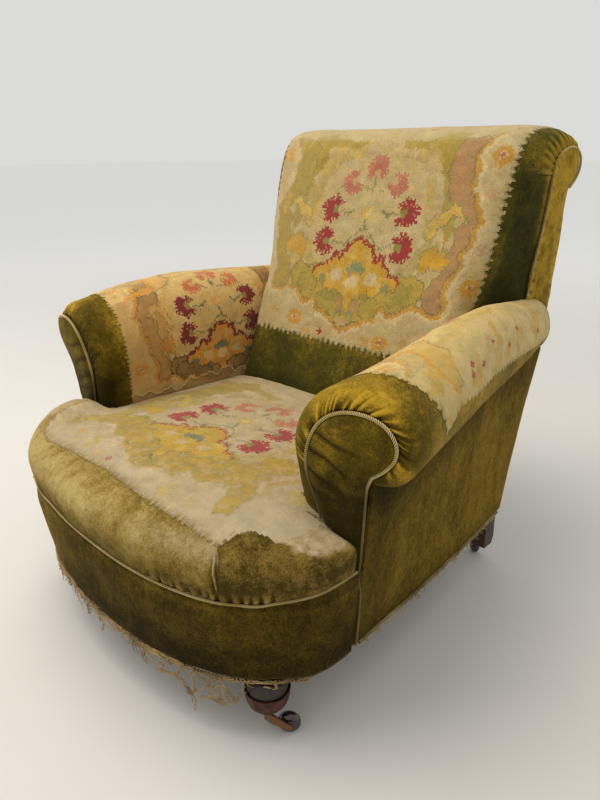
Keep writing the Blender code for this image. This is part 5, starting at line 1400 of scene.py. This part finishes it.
for side, sign in SIDES:
    cover = arm_grids[sign][:-3, :-3]
    section = tape(cover, 1)
    start = np.stack([np.interp(ARM_FOOT_Z, row[:60, 2], length[:60]) for row, length in zip(cover, section)])
    start = start[:, None]
    v_lines = np.arange(-0.155, 0.46, KNOT)
    by_v = np.swapaxes(resample(cover, section - start, v_lines), 0, 1)[:, 11:]
    u_lines = np.arange(-0.265, 0.3301, KNOT)
    grid = resample(by_v, by_v[..., 1], u_lines + ARM_MIDDLE_Y)
    end_tape = section[:, -1:] - start
    reach_v = np.interp(u_lines + ARM_MIDDLE_Y, cover[11:, -1, 1], end_tape[11:, 0])
    u, v = np.meshgrid((u_lines[:-1] + u_lines[1:]) / 2, (v_lines[:-1] + v_lines[1:]) / 2)
    limit = np.broadcast_to(((reach_v[:-1] + reach_v[1:]) / 2)[None, :], u.shape)
    pitch, deep = (0.0155, 0.005) if sign > 0 else (0.0085, 0.005)
    keep = u > table(ARM_START[sign], v) + deep * teeth(v, pitch, 10)
    keep &= v < np.minimum(table(ARM_EDGE[sign], u), limit - 0.03) + 0.003 - 0.006 * teeth(u, 0.013, 11)
    keep &= u < 0.318
    # a paler colour over the roll's crest, for faded wool and for painted highlight where the light falls on
    # it
    crest = rise(v, 0.15, 0.06) * (0.75 + 0.5 * soft_noise(u, v, 0.04, 17))
    fade = (0.45 * crest + 0.2 * rise(v, 0.26, 0.04), "#BCA668")
    lay_panel(f"arm_panel_{side}", grid, table(ARM_U, u), table(ARM_V, v), keep,
              RIGHT_ARM_DYES if sign > 0 else ARM_DYES, 3 + sign, flip=sign > 0, fade=fade,
              extra=(CORNER if sign > 0 else LEFT_ONLY + CORNER)
              + [(rubbed_edge(keep, 3 if sign > 0 else 1), "edge", 0.6)])
# %% [markdown]
# The seams are edged with twisted cotton cord, three strands laid together, once cream and now the colour
# of old string. Strands are modelled one by one, because the light on their slant is what shows that it is
# a cord. It is sewn down all along, so it is part of the cover, but for a burst centimetre here and there.

# %% Cord finish
def thread_finish(name, light, dark, deep, scale):
    """Spun cotton or wool: fibres along it, dirt in patches, a deep colour for painted shade between strands
    and for soil.
    """
    made, tree, shader = start_material(name)
    place = (node(tree, "TexCoord"), "Object")
    fibres = node(tree, "TexNoise", {"Scale": scale, "Detail": 3.0, "Roughness": 0.7}, {"Vector": place})
    dirt = node(tree, "TexNoise", {"Scale": 22.0, "Detail": 3.0}, {"Vector": place})
    both = node(tree, "Math", {1: 0.5}, {0: fibres, 2: dirt}, operation="MULTIPLY_ADD")
    reach = node(tree, "MapRange", {"From Min": 0.5, "From Max": 0.98}, {"Value": both})
    tone = node(tree, "Mix", {"A": opaque(dark), "B": opaque(light)}, {"Factor": reach}, data_type="RGBA")
    groove = node(tree, "SeparateColor", links={"Color": node(tree, "Attribute", attribute_name="wear")})
    seen = node(tree, "Mix", {"B": opaque(deep)},
                {"Factor": (groove, "Green"), "A": tone}, data_type="RGBA")
    complete(tree, shader, seen, fibres, 0.5, 0.0004, {"Roughness": 0.9, "Specular IOR Level": 0.2})
    return made


old_cotton = thread_finish("twisted_cotton_cord", "#EAD496", "#B89A54", "#3C2C0A", 700.0)
brown_cotton = thread_finish("cotton_cord_soiled", "#CDB680", "#7A6636", "#30250E", 500.0)
print("strand fibres about", round(1000 / 700, 1), "mm apart")


# %% Laying a cord
def frames_along(route):
    """The way ahead and two directions across it, at every point of a route, without twist."""
    ahead = np.gradient(route, axis=0)
    ahead /= np.linalg.norm(ahead, axis=1, keepdims=True)
    side = np.cross(ahead[0], (0.0, 0.0, 1.0))
    if np.linalg.norm(side) < 0.1:
        side = np.cross(ahead[0], (1.0, 0.0, 0.0))
    sides = []
    for way in ahead:
        side = side - way * (side @ way)
        side = side / np.linalg.norm(side)
        sides.append(side)
    sides = np.array(sides)
    return ahead, sides, np.cross(ahead, sides)


def even(route, step):
    """A route re-spaced to this step."""
    route = np.asarray(route, float)
    run = np.concatenate([[0], np.cumsum(np.linalg.norm(np.diff(route, axis=0), axis=1))])
    want = np.linspace(0, run[-1], max(int(run[-1] / step), 8))
    return np.stack([np.interp(want, run, route[:, c]) for c in range(3)], axis=-1), want


def twisted(name, route, radius, finish, strands=3, pitch=0.0102, sides=6, thin=None):
    """A cord of strands laid round each other along a route. thin gives its thickness along the way."""
    route, run = even(route, pitch / 9)
    ahead, across, up = frames_along(route)
    girth = np.ones(len(route)) if thin is None else thin(route)
    vertices, faces, wear = [], [], []
    for strand in range(strands):
        angle = 2 * math.pi * (run / pitch + strand / strands)
        for i in range(len(route)):
            ring = []
            for a in angle[i] + np.linspace(0, 2 * math.pi, sides, endpoint=False):
                reach = 0.56 * np.array([math.cos(angle[i]), math.sin(angle[i])])
                reach += 0.5 * np.array([math.cos(a), math.sin(a)])
                ring.append(route[i] + radius * girth[i] * (reach[0] * across[i] + reach[1] * up[i]))
                # painted shade in the grooves between strands, deepest towards the cord's middle; a cord worn
                # thin is darkened as soiled
                groove = float(fall(np.hypot(*reach), 1.0, 0.26))
                wear.append((0.0, min(groove + 2.2 * (1 - girth[i]), 1.0), 0.0))
            base = len(vertices)
            vertices += [p.tolist() for p in ring]
            if i:
                faces += [(base - sides + s, base - sides + (s + 1) % sides, base + (s + 1) % sides,
                           base + s) for s in range(sides)]
        first = len(vertices) - sides * len(route)
        faces += [tuple(range(first + sides - 1, first - 1, -1)),
                  tuple(range(len(vertices) - sides, len(vertices)))]
    obj = mesh_piece(name, vertices, faces, finish)
    add_wear_and_painted_light(obj, wear)
    print(name, round(float(run[-1]), 3), "m")
    return obj


# %% Cords round the arms' fronts and under the seat
route_xz = np.concatenate([along(ARM_LOOP, shares(90))[2:],
                           along(((0.386, 0.424), (0.383, 0.4), (0.3775, 0.35), (0.3712, 0.3),
                                  (0.366, 0.264), (0.3612, 0.215), (0.3555, 0.16),
                                  (0.351, 0.124)), shares(50))])
stand = np.where(route_xz[:, 0] > 0.34, table(((0.236, -0.0022), (0.262, 0.0054)), route_xz[:, 1]), 0.0054)
front_y = arm_plane(route_xz[:, 0], route_xz[:, 1]) - stand
front_y[:30] = arm_plane(*route_xz[:30].T) - 0.0054


def lower_thinner(route):
    """The cord has worn thin on the way down to the hem."""
    return lerp(0.74, 1.0, rise(route[:, 2], 0.4, 0.05))


for side, sign in SIDES:
    route = together(sign * route_xz[:, 0], front_y + 0.002, route_xz[:, 1])
    cord = twisted(f"cord_of_arm_{side}", route, 0.0026, old_cotton, thin=lower_thinner)
    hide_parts(f"arm_cord_{side}")

turn = np.arange(-90, 90.1, 2.0)
x, y = bow((BOW_LIP[0] + 0.0014, BOW_LIP[1] + 0.0014, BOW_LIP[2]), turn)
x = spread(x, lip_height(turn), turn)
lip = np.stack([x, np.minimum(y, -0.246), lip_height(turn) + 0.0008 * soft_noise(turn, 0, 7.0, 80)],
               axis=-1)
lip_cord = twisted("cord_under_seat", lip, 0.002, old_cotton, pitch=0.009)
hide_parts("lip_cord")

route_yz = np.concatenate([along(BACK_CORD, shares(40))[:-1], along(BACK_LOOP, shares(60))])
for side, sign in SIDES:
    x = table(SIDE_HALF, route_yz[:, 1]) + 0.0045
    cord = twisted(f"cord_of_back_{side}", np.column_stack([sign * x, route_yz]), 0.0024, old_cotton,
                   pitch=0.009)
    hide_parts(f"back_cord_{side}")
# %% [markdown]
# A bullion fringe once hung from the hem. Its heading has rotted, so what is left is a line of string under
# the border, loops and tangled ends of twisted wool at the front, and only a braid's edge along the sides.
# Each thread is a thin tube along a short wandering fall. None is a free cord: each is a few centimetres of
# fluff.

# %% The ragged fringe
fringe_wool = thread_finish("fringe_wool_thread", "#C4A672", "#6E5830", "#3A2C10", 500.0)


def chance(i, seed):
    return float(hashed(np.array(float(i)), np.array(3.0), seed))


def threads(name, roots, finish):
    """Thin tubes, one for each list of points and radius."""
    vertices, faces = [], []
    for points, radius in roots:
        points = np.asarray(points, float)
        ahead, across, up = frames_along(points)
        for i in range(len(points)):
            taper = 1.0 - 0.5 * (i / (len(points) - 1)) ** 3
            base = len(vertices)
            for a in (0, 1.571, 3.142, 4.712):
                reach = math.cos(a) * across[i] + math.sin(a) * up[i]
                vertices.append((points[i] + radius * taper * reach).tolist())
            if i:
                faces += [(base - 4 + s, base - 4 + (s + 1) % 4, base + (s + 1) % 4, base + s)
                          for s in range(4)]
        faces += [tuple(range(len(vertices) - 4, len(vertices)))]
    return mesh_piece(name, vertices, faces, finish)


def hem_point(angle):
    x, y = bow((BOW_HEM[0] - 0.001, BOW_HEM[1] - 0.001, BOW_HEM[2]), np.array(float(angle)))
    return np.array([float(x), float(y)])


# strings of the old bullion that still hang, as places round the hem in degrees and drops in millimetres
STRINGS = (((31, 3), (32, 49), (30, 57), (35, 37), (38, 10)), ((31, 7), (33, 15), (37, 22)),
           ((31, 55), (32, 88)), ((25, 33), (29, 45), (30, 57), (35, 37)),
           ((40, 4), (38, 31), (41, 22), (43, 41), (46, 47), (50, 13)), ((41, 3), (43, 29), (46, 45)),
           ((34, 56), (39, 53), (42, 51)), ((37, 45), (43, 58), (50, 26)), ((37, 27), (42, 50)),
           ((18, 42), (22, 36), (26, 28), (28, 1)), ((19, 24), (21, 25), (19, 41)),
           ((18, 0), (22, 3), (27, 0)), ((23, 2), (24, 15), (27, 4)),
           ((12, 13), (14, 16), (13, 32), (15, 39)), ((13, 9), (18, 29)), ((11, 1), (10, 9), (11, 16)),
           ((-3, 14), (-3, 28), (0, 6)), ((-2, 31), (-3, 49)), ((3, 10), (6, 8), (8, 0)),
           ((-10, 21), (-9, 38)), ((56, 8), (62, 7)), ((57, 13), (61, 19), (61, 8)),
           ((68, 5), (74, 12), (76, 1)))


def hung(string, n, kink, bends):
    """A string's route in space, kinked where it was twisted tight for years."""
    fine = along(string, shares(bends))
    run = []
    for i, (angle, drop) in enumerate(fine):
        at, ahead = hem_point(angle), hem_point(angle + 0.5)
        tangent = (ahead - at) / np.linalg.norm(ahead - at)
        out = np.array([tangent[1], -tangent[0]])
        slide, stand, lift = (kink * (2 * chance(i, n + more) - 1) for more in (0, 50, 90))
        place = at + tangent * slide + out * (0.0025 * chance(n, 4) + stand)
        run.append((*place, HEM - max(drop, 1.0) / 1000 + lift))
    return run


roots = []
for n, string in enumerate(STRINGS):
    for copy in range(2 + n % 2):
        moved = [(a + 0.35 * copy, d * (1 - 0.05 * copy)) for a, d in string]
        roots.append((hung(moved, n + 31 * copy, 0.0011, 12 * len(string)), 0.00085))
# between them only short curls are left, thick at the front left and thin on the right
for n in range(420):
    angle = -86 + 172 * (n + chance(n, 1)) / 420
    left_here = float(np.interp(angle, [-86, -60, -30, 16, 30, 52, 86],
                                [0.3, 0.8, 1.0, 0.85, 0.35, 0.3, 0.3]))
    if chance(n, 2) > left_here:
        continue
    drop = 4 + 26 * chance(n, 3) ** 2.2 * left_here
    wide = 1.0 + 2.4 * chance(n, 5)
    turns, first = 1 + 3 * chance(n, 6), 6.3 * chance(n, 7)
    curl = [(angle + wide * math.sin(first + turns * 3 * t) * (0.3 + t),
             3 + drop * (t + 0.28 * math.sin(1.3 * first + turns * 4 * t))) for t in shares(7)]
    roots.append((hung(curl, n + 200, 0.0007, 28), 0.0005 + 0.00028 * chance(n, 8)))
threads("fringe_threads", roots, fringe_wool)
print("fringe:", len(STRINGS), "hanging strings among", len(roots), "threads")

# %% The string heading and the braid along the sides
turn = np.arange(-82, 82.1, 1.0)
x, y = bow((BOW_HEM[0] - 0.0026, BOW_HEM[1] - 0.0026, BOW_HEM[2]), turn)
z = HEM - 0.0045 - 0.0022 * (1 + soft_noise(turn, 0, 3.0, 85))
heading = twisted("fringe_heading", together(x, y, z), 0.0026, brown_cotton, strands=2, pitch=0.012)
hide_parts("fringe_braid")

for side, sign in SIDES:
    t = np.linspace(0.02, 0.97, 160)
    low_x = hem_x(t) + 0.003
    low_y = lerp(float(arm_plane(0.345, HEM)) + 0.0066, float(rear_face(HEM)) - 0.0045, t)
    wobble = 0.0012 * soft_noise(t * 40, 0, 1.0, 90 + sign)
    braid = together(sign * (low_x + 0.4 * wobble), low_y, HEM + 0.0012 + wobble)
    twisted(f"hem_braid_{side}", braid, 0.0034, brown_cotton, pitch=0.012)
    tufts = []
    for n in range(140):
        i = int(chance(n, 21 + sign) * 155)
        px, py, pz = braid[i]
        length = 0.003 + 0.011 * chance(n, 23 + sign) ** 2
        bend = 2 * chance(n, 24) - 1
        tufts.append(([(px + sign * (0.0015 + 0.3 * length * s),
                        py + length * (0.7 * bend * s + 0.2 * math.sin(6 * s + n)),
                        pz - 0.001 - 0.8 * length * s) for s in shares(5)], 0.0005))
    threads(f"hem_tufts_{side}", tufts, fringe_wool)
print("side braids: 2")
# %% [markdown]
# A few loose ends show its age. The left arm's cord has come away at the bottom and its last centimetre
# curls out, the seat's cord has burst at the front left, and rubbed pile stands up as fuzz where the seat
# meets the arms.

# %% Loose ends and fuzz
loose = []
for n in range(9):
    start = np.array([-0.37, arm_plane(-0.37, 0.3) - 0.006, 0.3 + 0.0016 * (n % 3)])
    ahead = np.array([-0.015 - 0.004 * chance(n, 60), -0.01, -0.012 + 0.008 * chance(n, 61)])
    loose.append(([start + ahead * s + (0.0, 0.0, 0.004 * math.sin(3 * s)) for s in shares(6)], 0.0011))
for n in range(16):
    i = int(len(lip) * (0.5 - 0.235 + 0.012 * chance(n, 62)))
    out = np.array([-0.7, -0.7, 0.2 + 1.2 * chance(n, 63)]) * (0.002 + 0.004 * chance(n, 64))
    slide = 0.004 * chance(n, 65)
    loose.append(([lip[i] + out * s + (slide * s, 0.0, 0.001 * math.sin(4 * s)) for s in (0, 0.4, 0.7, 1.0)],
                  0.0006))
threads("loose_cord_ends", loose, old_cotton)
pile_fluff = thread_finish("rubbed_pile_fluff", "#A8A070", "#867E48", "#5E5628", 900.0)
fuzz = []
for n in range(420):
    x = (0.29 + 0.078 * chance(n, 66)) * (1 if n % 3 else -1)
    y = float(arm_plane(x, 0.345)) - 0.008 + 0.004 * chance(n, 67)
    at = np.array([x, y, float(seat_height(np.array(x), np.array(y))) - 0.001])
    way = np.array([chance(n, 68) - 0.5, -0.35, 0.5 + 0.5 * chance(n, 69)]) * (0.003 + 0.005 * chance(n, 70))
    fuzz.append(([at + way * s + (0.0, -0.002 * s * s, 0.0) for s in (0, 0.35, 0.7, 1.0)], 0.00028))
threads("rubbed_pile_fuzz", fuzz, pile_fluff)
print("loose ends:", len(loose), "and tufts of fuzz:", len(fuzz))
# %% [markdown]
# The front feet are turned mahogany, stained and polished, and sit in the castors' brass cups. Their finish
# is a darker copy of the mahogany, its stain deepened with painted shade from the border above. The rear
# legs are plain squares of the same wood that carry on up as the back posts. Mahogany has a fine straight
# grain of dark pores, which a long noise along the leg gives, under a film of old polish that has dulled.

# %% Wood finishes
def wood(name, light, dark, roughness, coat, along_z=0.05):
    """Straight-grained wood. The grain is about a millimetre wide and runs up the piece."""
    made, tree, shader = start_material(name)
    place = (node(tree, "TexCoord"), "Object")
    long = node(tree, "Mapping", {"Scale": (1.0, 1.0, along_z)}, {"Vector": place})
    grain = node(tree, "TexNoise", {"Scale": 420.0, "Detail": 4.0, "Roughness": 0.65, "Distortion": 0.4},
                 {"Vector": long})
    patch = node(tree, "TexNoise", {"Scale": 26.0, "Detail": 3.0}, {"Vector": place})
    both = node(tree, "Math", {1: 0.7}, {0: grain, 2: patch}, operation="MULTIPLY_ADD")
    reach = node(tree, "MapRange", {"From Min": 0.6, "From Max": 1.1}, {"Value": both})
    tone = node(tree, "Mix", {"A": opaque(dark), "B": opaque(light)}, {"Factor": reach}, data_type="RGBA")
    complete(tree, shader, tone, grain, 0.25, 0.0003,
             {"Roughness": roughness, "IOR": 1.5, "Coat Weight": coat, "Coat Roughness": 0.3})
    return made


mahogany = wood("polished_mahogany", "#54280F", "#240E06", 0.55, 0.12)
# the feet: a darker copy, stain with painted shade from the border above
stain_and_shade = wood("stained_mahogany_painted_shade", "#2C180E", "#150B06", 0.5, 0.1)
beech = wood("raw_beech", "#B08A58", "#8A6438", 0.75, 0.0, along_z=1.0)
print("grain about", round(1000 / 420, 1), "mm wide")
# %% [markdown]
# The castors are brass: a cup for the foot, and a horn whose spindle turns in it and which carries a brown
# china wheel. Lacquer and polish are long gone. The cup has gone plum brown with a greyer rubbed rim, the
# horn is rusty where steel shows, and the china keeps a glassy glaze.

# %% Metal and china finishes
def worn_metal(name, base, stain, rub, metallic, roughness, **others):
    """Stain in patches, rubbed away where an edge stands out. others are more constants of the shader."""
    made, tree, shader = start_material(name)
    place = (node(tree, "TexCoord"), "Object")
    patch = node(tree, "TexNoise", {"Scale": 90.0, "Detail": 5.0, "Roughness": 0.65}, {"Vector": place})
    fine = node(tree, "TexNoise", {"Scale": 600.0, "Detail": 2.0}, {"Vector": place})
    spread = node(tree, "MapRange", {"From Min": 0.42, "From Max": 0.6}, {"Value": patch})
    stain_and_shade = node(tree, "Mix", {"A": opaque(base), "B": opaque(stain)},
                   {"Factor": spread}, data_type="RGBA")
    stands_out = (node(tree, "NewGeometry"), "Pointiness")
    edge = node(tree, "MapRange", {"From Min": 0.52, "From Max": 0.6}, {"Value": stands_out})
    rubbed = node(tree, "Mix", {"B": opaque(rub)}, {"Factor": edge, "A": stain_and_shade}, data_type="RGBA")
    rough = node(tree, "MapRange", {"To Min": roughness - 0.1, "To Max": roughness + 0.15},
                 {"Value": patch})
    join(tree, rough, shader.inputs["Roughness"])
    complete(tree, shader, rubbed, fine, 0.3, 0.0002, {"Metallic": metallic, **others})
    return made


cup_brass = worn_metal("tarnished_brass_cup", "#5C3422", "#2E1A14", "#7E6258", 0.6, 0.5)
horn_brass = worn_metal("rusty_horn", "#54301C", "#2E190F", "#7E5A3A", 0.6, 0.5)
china = worn_metal("glazed_brown_china", "#34191C", "#200F12", "#4C2C30", 0.0, 0.22,
                   **{"Coat Weight": 0.8, "Coat Roughness": 0.08})
steel = worn_metal("spring_wire", "#5A5650", "#3C3833", "#8A847A", 1.0, 0.45)
print("metal and china finishes: 4")


# %% Turned pieces
def turned(name, profile, middle, ways, finish, body, steps=64, hollow=False):
    """A piece turned from a profile of (radius, height) about a line through middle.

    ways are two directions across that line and one along it. A hollow piece has a bore instead of ends.
    """
    first, second, upright = np.array(ways)
    turn = np.linspace(0, 2 * math.pi, steps, endpoint=False)[:, None]
    rim = np.cos(turn) * first + np.sin(turn) * second
    points = np.stack([middle + upright * z + r * rim for r, z in profile])
    count = len(profile)
    rows = [(i * steps, (i + 1) % count * steps) for i in range(count if hollow else count - 1)]
    faces = [(low + s, low + (s + 1) % steps, high + (s + 1) % steps, high + s)
             for low, high in rows for s in range(steps)]
    if not hollow:
        faces += [tuple(range(steps))[::-1], tuple(range((count - 1) * steps, count * steps))]
    return mesh_piece(name, points.reshape(-1, 3).tolist(), faces, finish, body, sharp=35)


def rounded(profile, n=4):
    """A profile with its corners cut into short arcs."""
    profile = np.asarray(profile, float)
    out = [profile[0]]
    for a, b, c in zip(profile, profile[1:], profile[2:]):
        cut = min(0.35 * np.linalg.norm(b - a), 0.35 * np.linalg.norm(c - b), 0.0022)
        start = b + (a - b) / np.linalg.norm(a - b) * cut
        end = b + (c - b) / np.linalg.norm(c - b) * cut
        out += [(1 - t) ** 2 * start + 2 * t * (1 - t) * b + t * t * end for t in shares(n)]
    return np.array(out + [profile[-1]])


UP, X_WAY, Y_WAY = (0.0, 0.0, 1.0), (1.0, 0.0, 0.0), (0.0, 1.0, 0.0)
FRONT_FOOT, REAR_FOOT = (0.283, -0.3445), (0.28, 0.303)
FOOT = ((0.0001, 0.12), (0.01, 0.12), (0.0104, 0.1064), (0.0215, 0.1046), (0.0262, 0.101),
        (0.0306, 0.0935), (0.0317, 0.088), (0.0316, 0.082), (0.0312, 0.074), (0.028, 0.064),
        (0.0215, 0.0575), (0.0001, 0.056))
CUP = ((0.0001, 0.0552), (0.0218, 0.0566), (0.0292, 0.0638), (0.0322, 0.0738), (0.0329, 0.0838),
       (0.0333, 0.0868), (0.0352, 0.087), (0.0356, 0.0852), (0.0349, 0.0836), (0.0345, 0.076),
       (0.0332, 0.069), (0.03, 0.0606), (0.024, 0.0532), (0.0185, 0.0486), (0.0178, 0.0462),
       (0.016, 0.0442), (0.0001, 0.0441))
for side, sign in SIDES:
    under = (sign * FRONT_FOOT[0], FRONT_FOOT[1], 0.0)
    foot = turned(f"turned_foot_{side}", rounded(FOOT), under, (X_WAY, Y_WAY, UP), stain_and_shade, "chair")
    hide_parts(f"front_foot_{side}")
    cup = turned(f"castor_cup_{side}", rounded(CUP), under, (X_WAY, Y_WAY, UP), cup_brass, "chair")
    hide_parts(f"castor_socket_front_{side}")
print("turned feet and cups: 4")
# %% [markdown]
# A wheel is turned too, about its own pin. Its tread is a narrow flat between two slopes, with a shallow
# ring in each face round the pin hole. It rides on its own body, so that it spins.

# %% Castor wheels
WHEEL_BORE = 0.0026
# one face of a wheel, in shares of its radius and of half its width
WHEEL_FACE = ((0.3, 1.0), (0.36, 0.86), (0.56, 0.84), (0.62, 0.95), (0.86, 0.76), (0.985, 0.36))
# which way each castor trails, in degrees
TURNS = {("front", "right"): 40.0, ("front", "left"): 200.0, ("rear", "right"): 165.0, ("rear", "left"): 60.0}
# radius, width and trail of the wheels, in metres, and where their foot stands
SIZES = {"front": (0.018, 0.017, 0.033, FRONT_FOOT), "rear": (0.0125, 0.012, 0.017, REAR_FOOT)}
for (end, side), degrees in TURNS.items():
    radius, width, trail, foot = SIZES[end]
    sign = 1 if side == "right" else -1
    half = width / 2
    face = [(WHEEL_BORE, 0.99 * half)] + [(r * radius, w * half) for r, w in WHEEL_FACE]
    profile = rounded(face + [(0.999 * radius, 0.0)] + [(r, -w) for r, w in face[::-1]])
    way = math.radians(degrees)
    forward, across = np.array((math.cos(way), math.sin(way), 0.0)), (-math.sin(way), math.cos(way), 0.0)
    middle = np.array((sign * foot[0], foot[1], radius)) + forward * trail
    wheel = turned(f"china_wheel_{end}_{side}", profile, middle, (forward, UP, across), china,
                   f"wheel_{end}_{side}", steps=56, hollow=True)
    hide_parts(f"castor_wheel_{end}_{side}")
print("wheels:", len(TURNS))
# %% [markdown]
# What cannot be seen still belongs: rails, posts, webbing, springs and canvas keep the frame's own solids
# and get the finish of the real thing. The horns and rear plates keep their solids as well. The horns get a
# small bevel so that their edges catch the light as cast brass does, and the back legs a wider one.

# %% Finishes for the parts that keep their solids
def cloth_weave(name, light, dark, spacing):
    """Coarse plain weave of this thread spacing."""
    made, tree, shader = start_material(name)
    place = (node(tree, "TexCoord"), "Object")
    warp = node(tree, "TexWave", {"Scale": 0.314 / spacing, "Distortion": 0.6, "Detail": 2.0},
                {"Vector": place}, bands_direction="X")
    weft = node(tree, "TexWave", {"Scale": 0.314 / spacing, "Distortion": 0.6, "Detail": 2.0},
                {"Vector": place}, bands_direction="Y")
    over = node(tree, "Math", links={0: (warp, "Fac"), 1: (weft, "Fac")}, operation="MULTIPLY")
    tone = node(tree, "Mix", {"A": opaque(dark), "B": opaque(light)}, {"Factor": over}, data_type="RGBA")
    complete(tree, shader, tone, over, 0.6, 0.0006, {"Roughness": 0.9})
    return made


jute = cloth_weave("jute_webbing", "#A98C5C", "#6E5530", 0.0025)
canvas = cloth_weave("hessian_canvas", "#A58A5E", "#70582F", 0.0018)
FINISH_OF = {"back_leg": mahogany, "castor_horn": horn_brass, "castor_socket_rear": cup_brass,
             "webbing": jute, "seat_spring": steel, "spring_hessian": canvas, "front_rail": beech,
             "side_rail": beech, "front_post": beech, "arm_rail": beech, "back_rail": beech,
             "stay_rail": beech, "top_rail": beech}
dressed = 0
for name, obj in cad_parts.items():
    for start, finish in FINISH_OF.items():
        if name.startswith(start):
            for material_slot in obj.material_slots:
                material_slot.material = finish
            dressed += 1
            if start in ("back_leg", "castor_horn"):
                bevel = obj.modifiers.new("worn_edges", "BEVEL")
                bevel.width = 0.0015 if start == "back_leg" else 0.0004
                bevel.segments = 2
                bevel.limit_method = "ANGLE"
print("solids dressed:", dressed)
